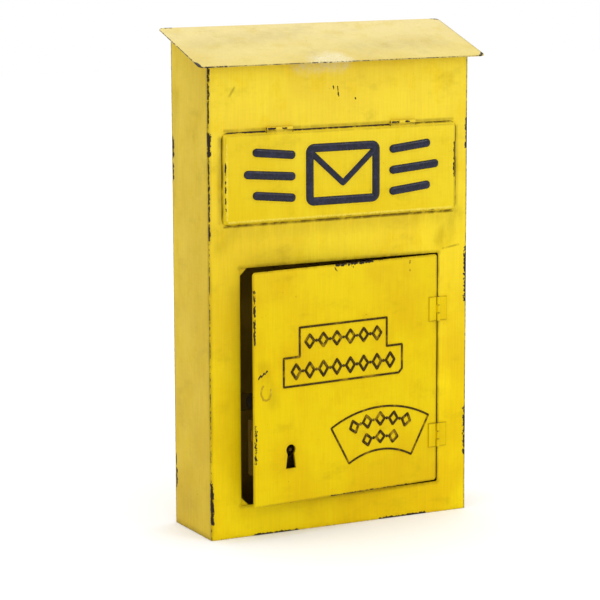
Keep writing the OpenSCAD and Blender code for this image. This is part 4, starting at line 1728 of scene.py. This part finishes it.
@dataclass
class CatchAndLock:
    """The magnetic catch behind the left stile, and the lock behind the keyhole."""

    shop: Shop
    weld_in: float = 4.0
    weld_apart: float = 6.4

    def build(self) -> None:
        """Dresses the catch and the lock."""
        self.shop.dress(LOCK_ENAMEL_AND_SHADE, "catch_bracket", "lock_case", "lock_ward", "key_post")
        self.shop.dress(CAP_ENAMEL, "lock_cap")
        self.shop.dress(DARK_STEEL, "catch_strike")
        self.shop.dress(MAGNET_FACE, "catch_magnet")
        self.shop.dress(BRIGHT_STEEL, "lock_rivets", "bolt_guide_pin")
        self.shop.dress(SPRING_STEEL, "bolt_spring")
        self.shop.dress(BOLT_BRASS, "lock_bolt")
        self.bracket_welds()

    def bracket_welds(self) -> None:
        """Sets two spot welds on the catch bracket's foot."""
        low, high = box_mm("catch_bracket")
        sizes = self.shop.sizes
        x, middle, off = low.x + self.weld_in, (low.z + high.z) / 2, self.weld_apart / 2
        places = dots([(x, middle - off), (x, middle + off)])
        made = self.shop.studs.run(places, self.shop.finish(WELD_STEEL), Radius=1.6, Rise=0.3, Uneven=0.1)
        place = facing((0, sizes.front + 2 * sizes.sheet, 0), X, Z, Y)
        self.shop.piece("bracket_spot_welds", merged([(made, place)]), "box", [WELD_STEEL], slot="dark_steel")


@dataclass
class Studio:
    """The plain floor, soft lights and camera."""

    azimuth: float = math.radians(26.851)
    drop: float = math.radians(9.668)
    roll: float = math.radians(-0.189)
    eye: Point = (-0.90172, -1.74496, 0.50442)
    lens: float = 155.70
    aim: Point = (0.0, 0.0, 0.2)

    def build(self) -> None:
        """Makes the floor, the lights and the camera."""
        self.floor()
        self.lights()
        self.camera()

    def floor(self) -> None:
        """Makes the plain pale floor."""
        mesh = bmesh.new()
        bmesh.ops.create_grid(mesh, x_segments=2, y_segments=2, size=4.0)
        floor = placed("floor", plain("floor", mesh))
        floor.data.materials.append(FloorPaper("floor_paper").make())

    def lights(self) -> None:
        """Makes the even sky, the soft lamps, and a wide light from above that keeps the floor even."""
        world = bpy.data.worlds.new("studio")
        world.use_nodes = True
        bpy.context.scene.world = world
        sky = world.node_tree.nodes["Background"].inputs
        sky["Color"].default_value = (1.0, 1.0, 1.0, 1.0)
        sky["Strength"].default_value = 1.0
        self.lamp("overhead", (-0.3, -0.4, 1.9), 1.6, 2.0)
        self.lamp("key", (0.9, -1.8, 1.35), 0.45, 4.5)
        data = bpy.data.lights.new("skylight", "SUN")
        data.angle = math.radians(100)
        data.energy = 0.75
        placed("skylight", data)

    def lamp(self, name: str, at: Point, size: float, power: float) -> None:
        """Makes one square soft lamp, aimed at the box.

        Args:
            name: The lamp's name.
            at: Where it is.
            size: Its width and height.
            power: Its power in watts.
        """
        data = bpy.data.lights.new(name, "AREA")
        data.size = size
        data.energy = power
        made = placed(name, data)
        made.location = at
        made.rotation_euler = (Vector(self.aim) - Vector(at)).to_track_quat("-Z", "Y").to_euler()

    def camera(self) -> None:
        """Makes the camera."""
        data = bpy.data.cameras.new("camera")
        data.sensor_width = 36.0
        data.lens = self.lens
        made = placed("camera", data)
        flat = math.cos(self.drop)
        ahead = Vector((math.sin(self.azimuth) * flat, math.cos(self.azimuth) * flat, -math.sin(self.drop)))
        turn = ahead.to_track_quat("-Z", "Y").to_matrix().to_4x4() @ Matrix.Rotation(self.roll, 4, "Z")
        made.matrix_world = Matrix.Translation(self.eye) @ turn
        bpy.context.scene.camera = made


def corners(box: tuple[Vector, Vector]) -> list[list[float]]:
    """Gives a box as plain lists of numbers."""
    return [[float(value) for value in corner] for corner in box]


def main() -> None:
    """Builds the letter box and its studio."""
    logging.basicConfig(level=logging.INFO, format="%(name)s: %(message)s")
    bpy.context.scene.view_settings.view_transform = "Standard"
    Studio().build()
    shop = Shop(BoxSizes(), BeadTool(), StudTool())
    for part in (BodyShell(shop), Lid(shop), PostingFlap(shop), CollectionDoor(shop), CatchAndLock(shop)):
        part.build()
    bpy.context.view_layer.update()


if __name__ == "__main__":
    main()
